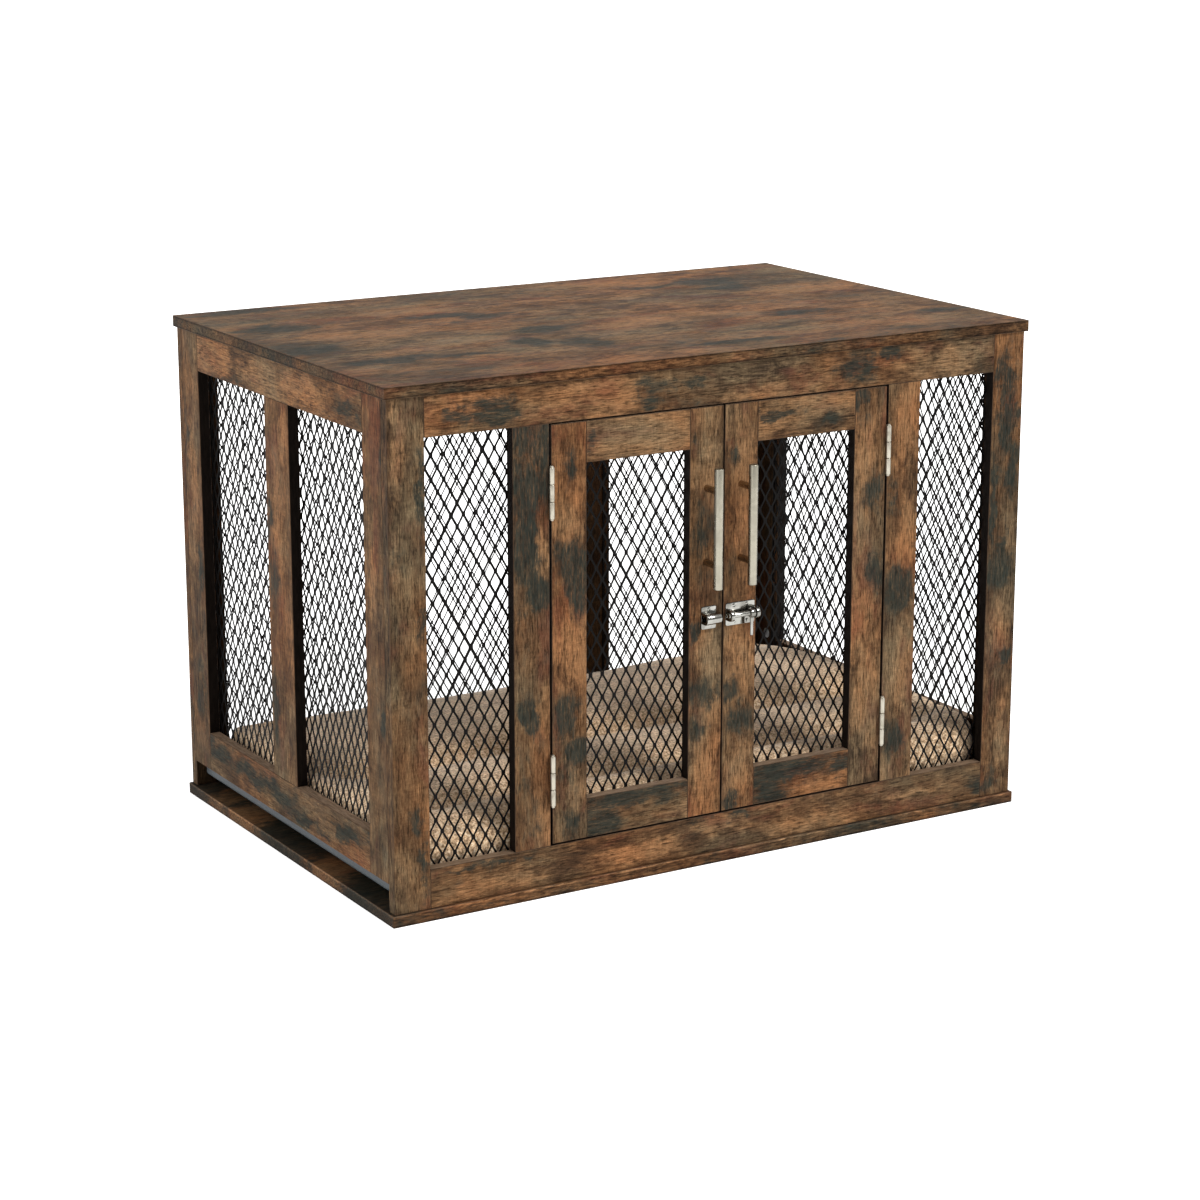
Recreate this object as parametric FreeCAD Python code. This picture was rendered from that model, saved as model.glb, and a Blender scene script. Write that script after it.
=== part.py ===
"""Pet crate in the style of an end table, with two mesh doors, a cushion and a sliding tray.

Millimetres. The origin is the centre of the underside. +X is to the right seen from the front,
the front faces -Y, and +Z is up.
"""
import FreeCAD, Part
import math
import os
from FreeCAD import Vector

# Overall size and boards
WIDTH = 960.0
DEPTH = 624.0
HEIGHT = 673.0
PANEL_THICK = 15.0
FRAME_THICK = 15.0
OVERHANG = 4.0
EDGE_EASE = 0.6

# Front frame
POST_WIDTH = 50.0
MULLION_WIDTH = 51.0
RAIL_HEIGHT = 51.0

# Doors
DOOR_WIDTH = 251.0
DOOR_STILE_WIDTH = 50.0
DOOR_RAIL_HEIGHT = 52.0
CENTRE_GAP = 2.0
HINGE_GAP = 3.0
DOOR_GAP = 2.0

# Side frames; the left one ends above the base, so that the tray can pass under it
SIDE_STILE_WIDTH = 50.0
SIDE_MIDDLE_WIDTH = 70.0
SIDE_RAIL_HEIGHT = 53.0
TRAY_SLOT = 36.0

# Rear frame
REAR_MULLION_WIDTH = 51.0
REAR_MULLION_CENTRE = 168.5

# Expanded-metal panels, fixed to the inner faces of the frames
MESH_THICK = 1.2
MESH_LAP = 12.0
MESH_RIM = 3.0
MESH_PITCH_WIDE = 17.4
MESH_PITCH_HIGH = 30.6
MESH_STRAND = 2.4
MESH_MOST_GAPS = 300

# Butt hinges
HINGE_LENGTH = 65.0
HINGE_INSET = 84.0
KNUCKLE_DIAMETER = 7.0
KNUCKLE_GAP = 0.3
HINGE_PIN_DIAMETER = 3.0
HINGE_PIN_CLEARANCE = 0.05
PIN_TIP_LENGTH = 2.5
LEAF_THICK = 1.2
LEAF_DEPTH = 13.0
HINGE_SCREW_DIAMETER = 3.0
HINGE_SCREW_LENGTH = 12.0
HINGE_SCREW_SPACING = 40.0

# T-bar handles
HANDLE_LENGTH = 156.0
HANDLE_CENTRES = 96.0
HANDLE_BAR_DIAMETER = 12.0
HANDLE_POST_DIAMETER = 9.0
HANDLE_REACH = 34.0
HANDLE_HEIGHT = 453.0
HANDLE_SCREW_DIAMETER = 4.0
HANDLE_SCREW_GRIP = 12.0
HANDLE_SCREW_HEAD_DIAMETER = 8.0
HANDLE_SCREW_HEAD = 2.5

# Barrel bolt
LATCH_HEIGHT = 332.0
LATCH_PLATE_THICK = 1.5
LATCH_PLATE_HIGH = 30.0
HOUSING_START = 4.0
HOUSING_LENGTH = 44.0
HOUSING_END_RING = 5.0
BARREL_DIAMETER = 15.0
BARREL_REACH = 9.0
BOLT_DIAMETER = 7.0
BOLT_NECK_DIAMETER = 4.0
BOLT_CLEARANCE = 0.3
BOLT_TIP_SETBACK = 1.0
KNOB_PIN_DIAMETER = 4.5
KNOB_PIN_REACH = 30.0
KNOB_COLLAR_WIDTH = 7.0
KNOB_COLLAR_DIAMETER = 12.0
KNOB_ROOM = 0.8
KNOB_END_PLAY = 0.3
KNOB_BEARING_CLEARANCE = 0.05
KEEPER_SETBACK = 11.0
KEEPER_LENGTH = 22.0

# Tray and its guides
TRAY_RISE = 17.0
TRAY_HEIGHT = 16.0
TRAY_WALL = 1.5
TRAY_CORNER = 12.0
TRAY_FLOOR_ROUND = 5.0
TRAY_LIP_SETBACK = 10.0
TRAY_END_ROOM = 1.5
TRAY_SIDE_ROOM = 1.0
TRAY_TOP_ROOM = 0.4
GUIDE_THICK = 1.2
GUIDE_REACH = 15.0
GUIDE_START = 30.0

# Cushion
CUSHION_ROOM = 1.0
CUSHION_SEAT_GAP = 0.3
CUSHION_EDGE = 48.0
CUSHION_CROWN = 72.0
CUSHION_SHOULDER = 66.0
CUSHION_END_EDGE = 44.0
CUSHION_END_CROWN = 12.0
CUSHION_END_CHANNEL = 1.5
CUSHION_CORNER = 52.0
CUSHION_DRAWN_IN = 5.0
CUSHION_SIDE_BULGE = 7.0
CUSHION_CHANNEL_DEPTH = 9.0
FRONT_CHANNEL = 91.0
REAR_CHANNEL = 247.0
CUSHION_WAIST_SHARES = (0.0, 0.35, 0.7, 1.0)
CUSHION_CORNER_ANGLES = (30.0, 60.0, 90.0)

# Cam fittings and base screws
CAM_DIAMETER = 15.0
CAM_DEPTH = 10.0
CAM_SETBACK = 24.0
CAM_INSET = 95.0
CAM_BOLT_DIAMETER = 6.0
CAM_BOLT_BITE = 10.0
TOP_CAM_OUTER = 366.0
TOP_CAM_INNER = 110.0
BASE_SCREW_DIAMETER = 4.0
BASE_SCREW_LENGTH = 40.0
BASE_SCREW_INNER = 150.0
BORE_CLEARANCE = 0.1

# How far a cutter runs past the face that it opens
CUT_PAST = 1.0

# Planes that the pieces share
BODY_X = WIDTH / 2 - OVERHANG
BODY_Y = DEPTH / 2 - OVERHANG
BODY_BOTTOM = PANEL_THICK
BODY_TOP = HEIGHT - PANEL_THICK
INNER_X = BODY_X - FRAME_THICK
INNER_Y = BODY_Y - FRAME_THICK
FRONT_FACE = -BODY_Y
POST_INNER = BODY_X - POST_WIDTH
WINDOW_BOTTOM = BODY_BOTTOM + RAIL_HEIGHT
WINDOW_TOP = BODY_TOP - RAIL_HEIGHT
DOOR_INNER = CENTRE_GAP / 2
DOOR_OUTER = DOOR_INNER + DOOR_WIDTH
MULLION_INNER = DOOR_OUTER + HINGE_GAP
MULLION_OUTER = MULLION_INNER + MULLION_WIDTH
DOOR_BOTTOM = WINDOW_BOTTOM + DOOR_GAP
DOOR_TOP = WINDOW_TOP - DOOR_GAP
SLOT_TOP = BODY_BOTTOM + TRAY_SLOT
SIDE_WINDOW_BOTTOM = SLOT_TOP + SIDE_RAIL_HEIGHT
HINGE_X = DOOR_OUTER + HINGE_GAP / 2
HINGE_Y = FRONT_FACE - KNUCKLE_DIAMETER / 2
HINGE_HEIGHTS = (DOOR_BOTTOM + HINGE_INSET, DOOR_TOP - HINGE_INSET)
INNER_STILE_X = DOOR_INNER + DOOR_STILE_WIDTH / 2
BOLT_Y = FRONT_FACE - BARREL_REACH
TRAY_BOTTOM = BODY_BOTTOM + TRAY_RISE
GUIDE_TOP = TRAY_BOTTOM + TRAY_HEIGHT + TRAY_TOP_ROOM + GUIDE_THICK
CAM_HEIGHTS = (BODY_BOTTOM + CAM_INSET, BODY_TOP - CAM_INSET)

ALONG_X = Vector(1, 0, 0)
ALONG_Y = Vector(0, 1, 0)
UP = Vector(0, 0, 1)
SIDES = ("left", "right")

nodes = {}


def box(low, high):
    """Return a plain box between two opposite corners."""
    size = [b - a for a, b in zip(low, high)]
    return Part.makeBox(*size, Vector(*low))


def board(low, high):
    """Return a board between two opposite corners, with all its edges eased."""
    plain = box(low, high)
    return plain.makeChamfer(EDGE_EASE, plain.Edges)


def rod(diameter, start, end):
    """Return a round bar from one point to another."""
    run = end - start
    return Part.makeCylinder(diameter / 2, run.Length, start, run)


def countersunk(diameter, head_point, direction, length, clearance=0.0):
    """Return a flat-head screw, or its hole where a clearance is given.

    The head's flat lies at head_point, and the shank points along direction.
    """
    radius = diameter / 2 + clearance
    head = Part.makeCone(2 * radius, radius, radius, head_point, direction)
    shank = Part.makeCylinder(radius, length + clearance, head_point, direction)
    return head.fuse(shank).removeSplitter()


def on_side(shape, side):
    """Return a shape that was made for the right, or its mirror image for the left."""
    if side == "right":
        return shape
    return shape.mirror(Vector(0, 0, 0), ALONG_X)


def group(shapes):
    """Return separate solids as one compound."""
    return Part.makeCompound([solid for shape in shapes for solid in shape.Solids])


def bore(name, cutter):
    """Cut a hole in a node that is already made."""
    nodes[name] = nodes[name].cut(cutter)


def make_panels():
    """Make the top and the base."""
    half_x = WIDTH / 2
    half_y = DEPTH / 2
    nodes["top_panel"] = board((-half_x, -half_y, BODY_TOP), (half_x, half_y, HEIGHT))
    nodes["base_panel"] = board((-half_x, -half_y, 0), (half_x, half_y, BODY_BOTTOM))


def make_upright_frame(prefix, near, far, mullion_low, mullion_high):
    """Make the posts, rails and mullions of the front or rear frame, between two planes along Y."""
    for side in SIDES:
        post = board((POST_INNER, near, BODY_BOTTOM), (BODY_X, far, BODY_TOP))
        nodes[f"{prefix}_{side}_post"] = on_side(post, side)
        mullion = board((mullion_low, near, WINDOW_BOTTOM), (mullion_high, far, WINDOW_TOP))
        nodes[f"{prefix}_{side}_mullion"] = on_side(mullion, side)
    nodes[f"{prefix}_top_rail"] = board((-POST_INNER, near, WINDOW_TOP), (POST_INNER, far, BODY_TOP))
    nodes[f"{prefix}_bottom_rail"] = board((-POST_INNER, near, BODY_BOTTOM),
                                           (POST_INNER, far, WINDOW_BOTTOM))


def make_side_frame(side):
    """Make one side frame: the left ends above the tray slot, the right goes down to the base."""
    foot = SLOT_TOP if side == "left" else BODY_BOTTOM
    stile_inner = INNER_Y - SIDE_STILE_WIDTH
    middle = SIDE_MIDDLE_WIDTH / 2
    members = {
        "front_stile": ((-INNER_Y, foot), (-stile_inner, BODY_TOP)),
        "rear_stile": ((stile_inner, foot), (INNER_Y, BODY_TOP)),
        "top_rail": ((-stile_inner, WINDOW_TOP), (stile_inner, BODY_TOP)),
        "bottom_rail": ((-stile_inner, foot), (stile_inner, SIDE_WINDOW_BOTTOM)),
        "middle_stile": ((-middle, SIDE_WINDOW_BOTTOM), (middle, WINDOW_TOP)),
    }
    for name, (low, high) in members.items():
        nodes[f"{side}_{name}"] = on_side(board((INNER_X, *low), (BODY_X, *high)), side)


def make_door_frame(side):
    """Make the four members of one door."""
    near = FRONT_FACE
    far = -INNER_Y
    outer = DOOR_OUTER - DOOR_STILE_WIDTH
    inner = DOOR_INNER + DOOR_STILE_WIDTH
    members = {
        "outer_stile": ((outer, near, DOOR_BOTTOM), (DOOR_OUTER, far, DOOR_TOP)),
        "inner_stile": ((DOOR_INNER, near, DOOR_BOTTOM), (inner, far, DOOR_TOP)),
        "top_rail": ((inner, near, DOOR_TOP - DOOR_RAIL_HEIGHT), (outer, far, DOOR_TOP)),
        "bottom_rail": ((inner, near, DOOR_BOTTOM), (outer, far, DOOR_BOTTOM + DOOR_RAIL_HEIGHT)),
    }
    for name, (low, high) in members.items():
        nodes[f"{side}_door_{name}"] = on_side(board(low, high), side)


def expanded_sheet(window_wide, window_high):
    """Return a sheet with staggered diamond gaps, flat on XY and centred, lapping its window all round.

    The pitch is the real one, or coarser where a large sheet would have too many gaps.
    """
    wide = window_wide + 2 * MESH_LAP
    high = window_high + 2 * MESH_LAP
    field_wide = wide - 2 * MESH_RIM
    field_high = high - 2 * MESH_RIM
    cell_area = MESH_PITCH_WIDE * MESH_PITCH_HIGH / 2
    coarser = max(1.0, math.sqrt(field_wide * field_high / cell_area / MESH_MOST_GAPS))
    half_wide = MESH_PITCH_WIDE * coarser / 2
    half_high = MESH_PITCH_HIGH * coarser / 2
    strand_share = MESH_STRAND / 2 * math.hypot(half_wide, half_high) / (half_wide * half_high)
    gap_wide = half_wide * (1 - strand_share)
    gap_high = half_high * (1 - strand_share)
    columns = int((field_wide / 2 - gap_wide) // half_wide)
    rows = int((field_high / 2 - gap_high) // half_high)
    outline = Part.makePolygon(rectangle_points(wide / 2, high / 2))
    wires = [outline]
    for row in range(-rows, rows + 1):
        for column in range(-columns, columns + 1):
            if (row + column) % 2:
                continue
            centre = Vector(column * half_wide, row * half_high, 0)
            corners = [Vector(gap_wide, 0, 0), Vector(0, gap_high, 0), Vector(-gap_wide, 0, 0),
                       Vector(0, -gap_high, 0), Vector(gap_wide, 0, 0)]
            wires.append(Part.makePolygon([centre + corner for corner in corners]))
    return Part.Face(wires).extrude(UP * MESH_THICK)


def rectangle_points(half_wide, half_high):
    """Return the closed corner list of a rectangle about the origin."""
    corners = ((1, 1), (-1, 1), (-1, -1), (1, -1), (1, 1))
    return [Vector(x * half_wide, y * half_high, 0) for x, y in corners]


def mesh_facing_y(low_x, high_x, low_z, high_z, front):
    """Return a sheet on the inner face of the front or the rear frame, over one window."""
    sheet = expanded_sheet(high_x - low_x, high_z - low_z)
    sheet.rotate(Vector(0, 0, 0), ALONG_X, 90)
    back_of_sheet = -INNER_Y + MESH_THICK if front else INNER_Y
    sheet.translate(Vector((low_x + high_x) / 2, back_of_sheet, (low_z + high_z) / 2))
    return sheet


def mesh_facing_x(low_y, high_y):
    """Return a sheet on the inner face of the right side frame, over one window."""
    sheet = expanded_sheet(high_y - low_y, WINDOW_TOP - SIDE_WINDOW_BOTTOM)
    sheet.rotate(Vector(0, 0, 0), ALONG_X, 90)
    sheet.rotate(Vector(0, 0, 0), UP, 90)
    middle_z = (SIDE_WINDOW_BOTTOM + WINDOW_TOP) / 2
    sheet.translate(Vector(INNER_X - MESH_THICK, (low_y + high_y) / 2, middle_z))
    return sheet


def make_meshes():
    """Make the mesh panels of the front, sides, rear and doors."""
    front = mesh_facing_y(MULLION_OUTER, POST_INNER, WINDOW_BOTTOM, WINDOW_TOP, True)
    door_low = DOOR_BOTTOM + DOOR_RAIL_HEIGHT
    door_high = DOOR_TOP - DOOR_RAIL_HEIGHT
    door_inner = DOOR_INNER + DOOR_STILE_WIDTH
    door_outer = DOOR_OUTER - DOOR_STILE_WIDTH
    door = mesh_facing_y(door_inner, door_outer, door_low, door_high, True)
    middle = SIDE_MIDDLE_WIDTH / 2
    flank = mesh_facing_x(middle, INNER_Y - SIDE_STILE_WIDTH)
    flanks = group([flank, flank.mirror(Vector(0, 0, 0), ALONG_Y)])
    mullion_inner = REAR_MULLION_CENTRE - REAR_MULLION_WIDTH / 2
    mullion_outer = REAR_MULLION_CENTRE + REAR_MULLION_WIDTH / 2
    rear_outer = mesh_facing_y(mullion_outer, POST_INNER, WINDOW_BOTTOM, WINDOW_TOP, False)
    rear_middle = mesh_facing_y(-mullion_inner, mullion_inner, WINDOW_BOTTOM, WINDOW_TOP, False)
    for side in SIDES:
        nodes[f"front_{side}_mesh"] = on_side(front, side)
        nodes[f"{side}_door_mesh"] = on_side(door, side)
        nodes[f"{side}_mesh"] = on_side(flanks, side)
    nodes["rear_mesh"] = group([on_side(rear_outer, "left"), rear_middle, rear_outer])


def knuckle(low, high):
    """Return a bored hinge barrel between two heights, on the right hinge line."""
    line = Vector(HINGE_X, HINGE_Y, 0)
    barrel = rod(KNUCKLE_DIAMETER, line + UP * low, line + UP * high)
    hole = HINGE_PIN_DIAMETER + 2 * HINGE_PIN_CLEARANCE
    return barrel.cut(rod(hole, line + UP * (low - CUT_PAST), line + UP * (high + CUT_PAST)))


def hinge_leaf(plate_low_x, centre, barrels):
    """Return one leaf with its own barrels: a plate in the hinge gap, and a tab from it to each barrel."""
    half = HINGE_LENGTH / 2
    plate_front = FRONT_FACE + KNUCKLE_GAP
    plate_high_x = plate_low_x + LEAF_THICK
    leaf = box((plate_low_x, plate_front, centre - half),
               (plate_high_x, plate_front + LEAF_DEPTH, centre + half))
    pin_hole = HINGE_PIN_DIAMETER / 2 + HINGE_PIN_CLEARANCE
    for low, high in barrels:
        tab_front = HINGE_Y + pin_hole
        tab = box((plate_low_x, tab_front, low), (plate_high_x, plate_front, high))
        leaf = leaf.fuse([tab, knuckle(low, high)])
    return leaf.removeSplitter()


def hinge_screw_points(centre, face_x):
    """Return the two points on a leaf's face where its screws stand."""
    depth = FRONT_FACE + KNUCKLE_GAP + LEAF_DEPTH / 2
    return [Vector(face_x, depth, centre + step * HINGE_SCREW_SPACING / 2) for step in (-1, 1)]


def hinge_screw(point, direction, clearance=0.0):
    """Return one hinge screw from a point on the leaf's face, or its hole where a clearance is given."""
    return countersunk(HINGE_SCREW_DIAMETER, point, direction, HINGE_SCREW_LENGTH, clearance)


def make_hinges():
    """Make the four hinges with their pins and screws, and bore the boards that the screws go into."""
    third = HINGE_LENGTH / 3
    door_face = DOOR_OUTER + LEAF_THICK
    frame_face = MULLION_INNER - LEAF_THICK
    frame_leaves = []
    frame_screws = []
    pins = []
    for side in SIDES:
        door_leaves = []
        door_screws = []
        for centre in HINGE_HEIGHTS:
            low = centre - HINGE_LENGTH / 2
            high = centre + HINGE_LENGTH / 2
            middle = (low + third + KNUCKLE_GAP / 2, high - third - KNUCKLE_GAP / 2)
            ends = ((low, low + third - KNUCKLE_GAP / 2), (high - third + KNUCKLE_GAP / 2, high))
            door_leaf = hinge_leaf(DOOR_OUTER, centre, (middle,))
            frame_leaf = hinge_leaf(frame_face, centre, ends)
            for point in hinge_screw_points(centre, door_face):
                hole = hinge_screw(point, -ALONG_X, BORE_CLEARANCE)
                door_leaf = door_leaf.cut(hole)
                bore(f"{side}_door_outer_stile", on_side(hole, side))
                door_screws.append(on_side(hinge_screw(point, -ALONG_X), side))
            for point in hinge_screw_points(centre, frame_face):
                hole = hinge_screw(point, ALONG_X, BORE_CLEARANCE)
                frame_leaf = frame_leaf.cut(hole)
                bore(f"front_{side}_mullion", on_side(hole, side))
                frame_screws.append(on_side(hinge_screw(point, ALONG_X), side))
            door_leaves.append(on_side(door_leaf, side))
            frame_leaves.append(on_side(frame_leaf, side))
            pins.append(on_side(hinge_pin(low, high), side))
        nodes[f"{side}_door_hinge_leaves"] = group(door_leaves)
        nodes[f"{side}_door_hinge_screws"] = group(door_screws)
    nodes["frame_hinge_leaves"] = group(frame_leaves)
    nodes["frame_hinge_screws"] = group(frame_screws)
    nodes["hinge_pins"] = group(pins)


def hinge_pin(low, high):
    """Return a hinge pin with a domed tip at each end, on the right hinge line."""
    line = Vector(HINGE_X, HINGE_Y, 0)
    pin = rod(HINGE_PIN_DIAMETER, line + UP * low, line + UP * high)
    radius = KNUCKLE_DIAMETER / 2
    for height, outward in ((high, UP), (low, -UP)):
        foot = line + UP * height
        tip = Part.makeCone(radius, radius / 2, PIN_TIP_LENGTH, foot, outward)
        pin = pin.fuse(tip)
    return pin.removeSplitter()


def make_handles():
    """Make the T-bar handles, their screws from inside the doors, and the holes in the stiles."""
    bar_y = FRONT_FACE - HANDLE_REACH + HANDLE_BAR_DIAMETER / 2
    half = HANDLE_LENGTH / 2
    middle = Vector(INNER_STILE_X, bar_y, HANDLE_HEIGHT)
    for side in SIDES:
        handle = rod(HANDLE_BAR_DIAMETER, middle - UP * half, middle + UP * half)
        ends = [edge for edge in handle.Edges if isinstance(edge.Curve, Part.Circle)]
        handle = handle.makeChamfer(EDGE_EASE, ends)
        screws = []
        for step in (-1, 1):
            height = HANDLE_HEIGHT + step * HANDLE_CENTRES / 2
            foot = Vector(INNER_STILE_X, FRONT_FACE, height)
            back = Vector(INNER_STILE_X, -INNER_Y, height)
            tip = foot - ALONG_Y * HANDLE_SCREW_GRIP
            handle = handle.fuse(rod(HANDLE_POST_DIAMETER, foot, Vector(INNER_STILE_X, bar_y, height)))
            hole = rod(HANDLE_SCREW_DIAMETER + 2 * BORE_CLEARANCE, back, tip - ALONG_Y * BORE_CLEARANCE)
            handle = handle.cut(hole)
            bore(f"{side}_door_inner_stile", on_side(hole, side))
            head = rod(HANDLE_SCREW_HEAD_DIAMETER, back, back + ALONG_Y * HANDLE_SCREW_HEAD)
            rim = [edge for edge in head.Edges if edge.BoundBox.YMin > -INNER_Y + EDGE_EASE]
            head = head.makeFillet(EDGE_EASE, [edge for edge in rim if isinstance(edge.Curve, Part.Circle)])
            screw = head.fuse(rod(HANDLE_SCREW_DIAMETER, tip, back)).removeSplitter()
            screws.append(on_side(screw, side))
        nodes[f"{side}_door_handle"] = on_side(handle.removeSplitter(), side)
        nodes[f"{side}_door_handle_screws"] = group(screws)


def latch_saddle(low_x, high_x):
    """Return a plate on the door's face with a bored barrel standing on it, between two planes along X."""
    half_high = LATCH_PLATE_HIGH / 2
    half_barrel = BARREL_DIAMETER / 2
    plate = board((low_x, FRONT_FACE - LATCH_PLATE_THICK, LATCH_HEIGHT - half_high),
                  (high_x, FRONT_FACE, LATCH_HEIGHT + half_high))
    barrel = rod(BARREL_DIAMETER, Vector(low_x, BOLT_Y, LATCH_HEIGHT), Vector(high_x, BOLT_Y, LATCH_HEIGHT))
    foot = box((low_x, BOLT_Y, LATCH_HEIGHT - half_barrel),
               (high_x, FRONT_FACE - LATCH_PLATE_THICK / 2, LATCH_HEIGHT + half_barrel))
    saddle = plate.fuse([barrel, foot])
    hole = rod(BOLT_DIAMETER + 2 * BOLT_CLEARANCE, Vector(low_x - CUT_PAST, BOLT_Y, LATCH_HEIGHT),
               Vector(high_x + CUT_PAST, BOLT_Y, LATCH_HEIGHT))
    return saddle.cut(hole).removeSplitter()


def make_latch():
    """Make the barrel bolt, drawn back: housing, bolt and knob on the right door, keeper on the left."""
    housing_end = HOUSING_START + HOUSING_LENGTH
    slot_low = HOUSING_START + HOUSING_END_RING
    slot_high = housing_end - HOUSING_END_RING
    axis = Vector(0, BOLT_Y, LATCH_HEIGHT)
    clear_of_barrel = BARREL_DIAMETER / 2 + CUT_PAST
    slot = box((slot_low, BOLT_Y - clear_of_barrel, LATCH_HEIGHT - clear_of_barrel),
               (slot_high, FRONT_FACE - LATCH_PLATE_THICK, LATCH_HEIGHT + clear_of_barrel))
    nodes["latch_housing"] = latch_saddle(HOUSING_START, housing_end).cut(slot)
    nodes["latch_keeper"] = latch_saddle(-KEEPER_SETBACK - KEEPER_LENGTH, -KEEPER_SETBACK)
    neck_high = axis + ALONG_X * (slot_high - KNOB_ROOM)
    neck_low = neck_high - ALONG_X * KNOB_COLLAR_WIDTH
    tip = axis + ALONG_X * (HOUSING_START - BOLT_TIP_SETBACK)
    sleeve = rod(BOLT_DIAMETER, neck_low, neck_high)
    neck = rod(BOLT_NECK_DIAMETER, neck_low, neck_high)
    bolt = rod(BOLT_DIAMETER, tip, axis + ALONG_X * housing_end)
    nodes["latch_bolt"] = bolt.cut(sleeve).fuse(neck).removeSplitter()
    room = ALONG_X * KNOB_END_PLAY / 2
    collar = rod(KNOB_COLLAR_DIAMETER, neck_low + room, neck_high - room)
    rims = [edge for edge in collar.Edges if isinstance(edge.Curve, Part.Circle)]
    collar = collar.makeFillet(EDGE_EASE, rims)
    middle = (neck_low + neck_high) / 2
    pin = rod(KNOB_PIN_DIAMETER, middle, middle - UP * KNOB_PIN_REACH)
    lower_rim = [edge for edge in pin.Edges if edge.BoundBox.ZMax < LATCH_HEIGHT - KNOB_PIN_REACH / 2]
    pin = pin.makeFillet(KNOB_PIN_DIAMETER / 3, lower_rim)
    bearing = rod(BOLT_NECK_DIAMETER + 2 * KNOB_BEARING_CLEARANCE, neck_low, neck_high)
    nodes["latch_knob"] = collar.fuse(pin).cut(bearing).removeSplitter()


def tray_pan(inset, floor):
    """Return a solid with rounded corners that fills the tray's outline, drawn in by inset, above floor."""
    low_x = -BODY_X + TRAY_LIP_SETBACK + inset
    high_x = INNER_X - TRAY_END_ROOM - inset
    half_y = INNER_Y - GUIDE_THICK - TRAY_SIDE_ROOM - inset
    top = TRAY_BOTTOM + TRAY_HEIGHT
    block = box((low_x, -half_y, floor), (high_x, half_y, top))
    upright = [edge for edge in block.Edges if edge.BoundBox.ZLength > TRAY_HEIGHT / 2]
    block = block.makeFillet(TRAY_CORNER - inset, upright)
    bottom = [edge for edge in block.Edges if edge.BoundBox.ZMax < floor + TRAY_WALL / 2]
    return block.makeFillet(TRAY_FLOOR_ROUND - inset, bottom)


def make_tray():
    """Make the tray and the two channels that carry it."""
    nodes["tray"] = tray_pan(0, TRAY_BOTTOM).cut(tray_pan(TRAY_WALL, TRAY_BOTTOM + TRAY_WALL))
    start = -BODY_X + GUIDE_START
    under = TRAY_BOTTOM - GUIDE_THICK
    outer = box((start, -INNER_Y, under), (INNER_X, -INNER_Y + GUIDE_REACH, GUIDE_TOP))
    inner = box((start, -INNER_Y + GUIDE_THICK, TRAY_BOTTOM),
                (INNER_X, -INNER_Y + GUIDE_REACH, GUIDE_TOP - GUIDE_THICK))
    front = outer.cut(inner)
    nodes["tray_guides"] = group([front, front.mirror(Vector(0, 0, 0), ALONG_Y)])


def cushion_section(x, half_depth, edge, crown, channel):
    """Return one closed outline of the cushion across X: flat base, bulging sides and three rolls on top."""
    base = GUIDE_TOP + CUSHION_SEAT_GAP
    foot = half_depth - CUSHION_SIDE_BULGE
    front_dip = -half_depth + FRONT_CHANNEL
    rear_dip = -half_depth + REAR_CHANNEL

    def point(y, height):
        return Vector(x, y, base + height)

    def arc(start, through, end):
        return Part.Arc(start, through, end).toShape()

    dip = crown - channel
    front_edge = point(-foot, edge)
    rear_edge = point(foot, edge)
    front_sewn = point(front_dip, dip)
    rear_sewn = point(rear_dip, dip)
    front_foot = point(-foot, 0)
    rear_foot = point(foot, 0)
    edges = [
        Part.LineSegment(front_foot, rear_foot).toShape(),
        arc(rear_foot, point(half_depth, edge / 2), rear_edge),
        arc(rear_edge, point((foot + rear_dip) / 2, crown), rear_sewn),
        arc(rear_sewn, point((front_dip + rear_dip) / 2, crown), front_sewn),
        arc(front_sewn, point((front_dip - foot) / 2, (crown + dip) / 2), front_edge),
        arc(front_edge, point(-half_depth, edge / 2), front_foot),
    ]
    return Part.Wire(edges)


def make_cushion():
    """Make the cushion: crowned, drawn in between its corners, with two sewn channels."""
    half_length = INNER_X - MESH_THICK - CUSHION_ROOM
    half_depth = INNER_Y - MESH_THICK - CUSHION_ROOM
    shoulder = half_length - CUSHION_CORNER
    right_half = []
    for share in CUSHION_WAIST_SHARES:
        swell = math.cos(share * math.pi / 2)
        depth = half_depth - CUSHION_DRAWN_IN * swell
        crown = CUSHION_SHOULDER + (CUSHION_CROWN - CUSHION_SHOULDER) * swell
        right_half.append((share * shoulder, depth, CUSHION_EDGE, crown, CUSHION_CHANNEL_DEPTH))
    for angle in CUSHION_CORNER_ANGLES:
        across = math.sin(math.radians(angle))
        x = shoulder + CUSHION_CORNER * across
        rise = math.cos(math.radians(angle))
        depth = half_depth - CUSHION_CORNER * (1 - rise)
        edge = CUSHION_END_EDGE + (CUSHION_EDGE - CUSHION_END_EDGE) * rise
        crown = edge + (CUSHION_SHOULDER - CUSHION_EDGE) * rise + CUSHION_END_CROWN * (1 - rise)
        channel = CUSHION_CHANNEL_DEPTH * rise + CUSHION_END_CHANNEL * (1 - rise)
        right_half.append((x, depth, edge, crown, channel))
    left_half = [(-x, *shape) for x, *shape in reversed(right_half[1:])]
    sections = [cushion_section(*station) for station in left_half + right_half]
    nodes["cushion"] = Part.makeLoft(sections, True, True)


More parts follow.
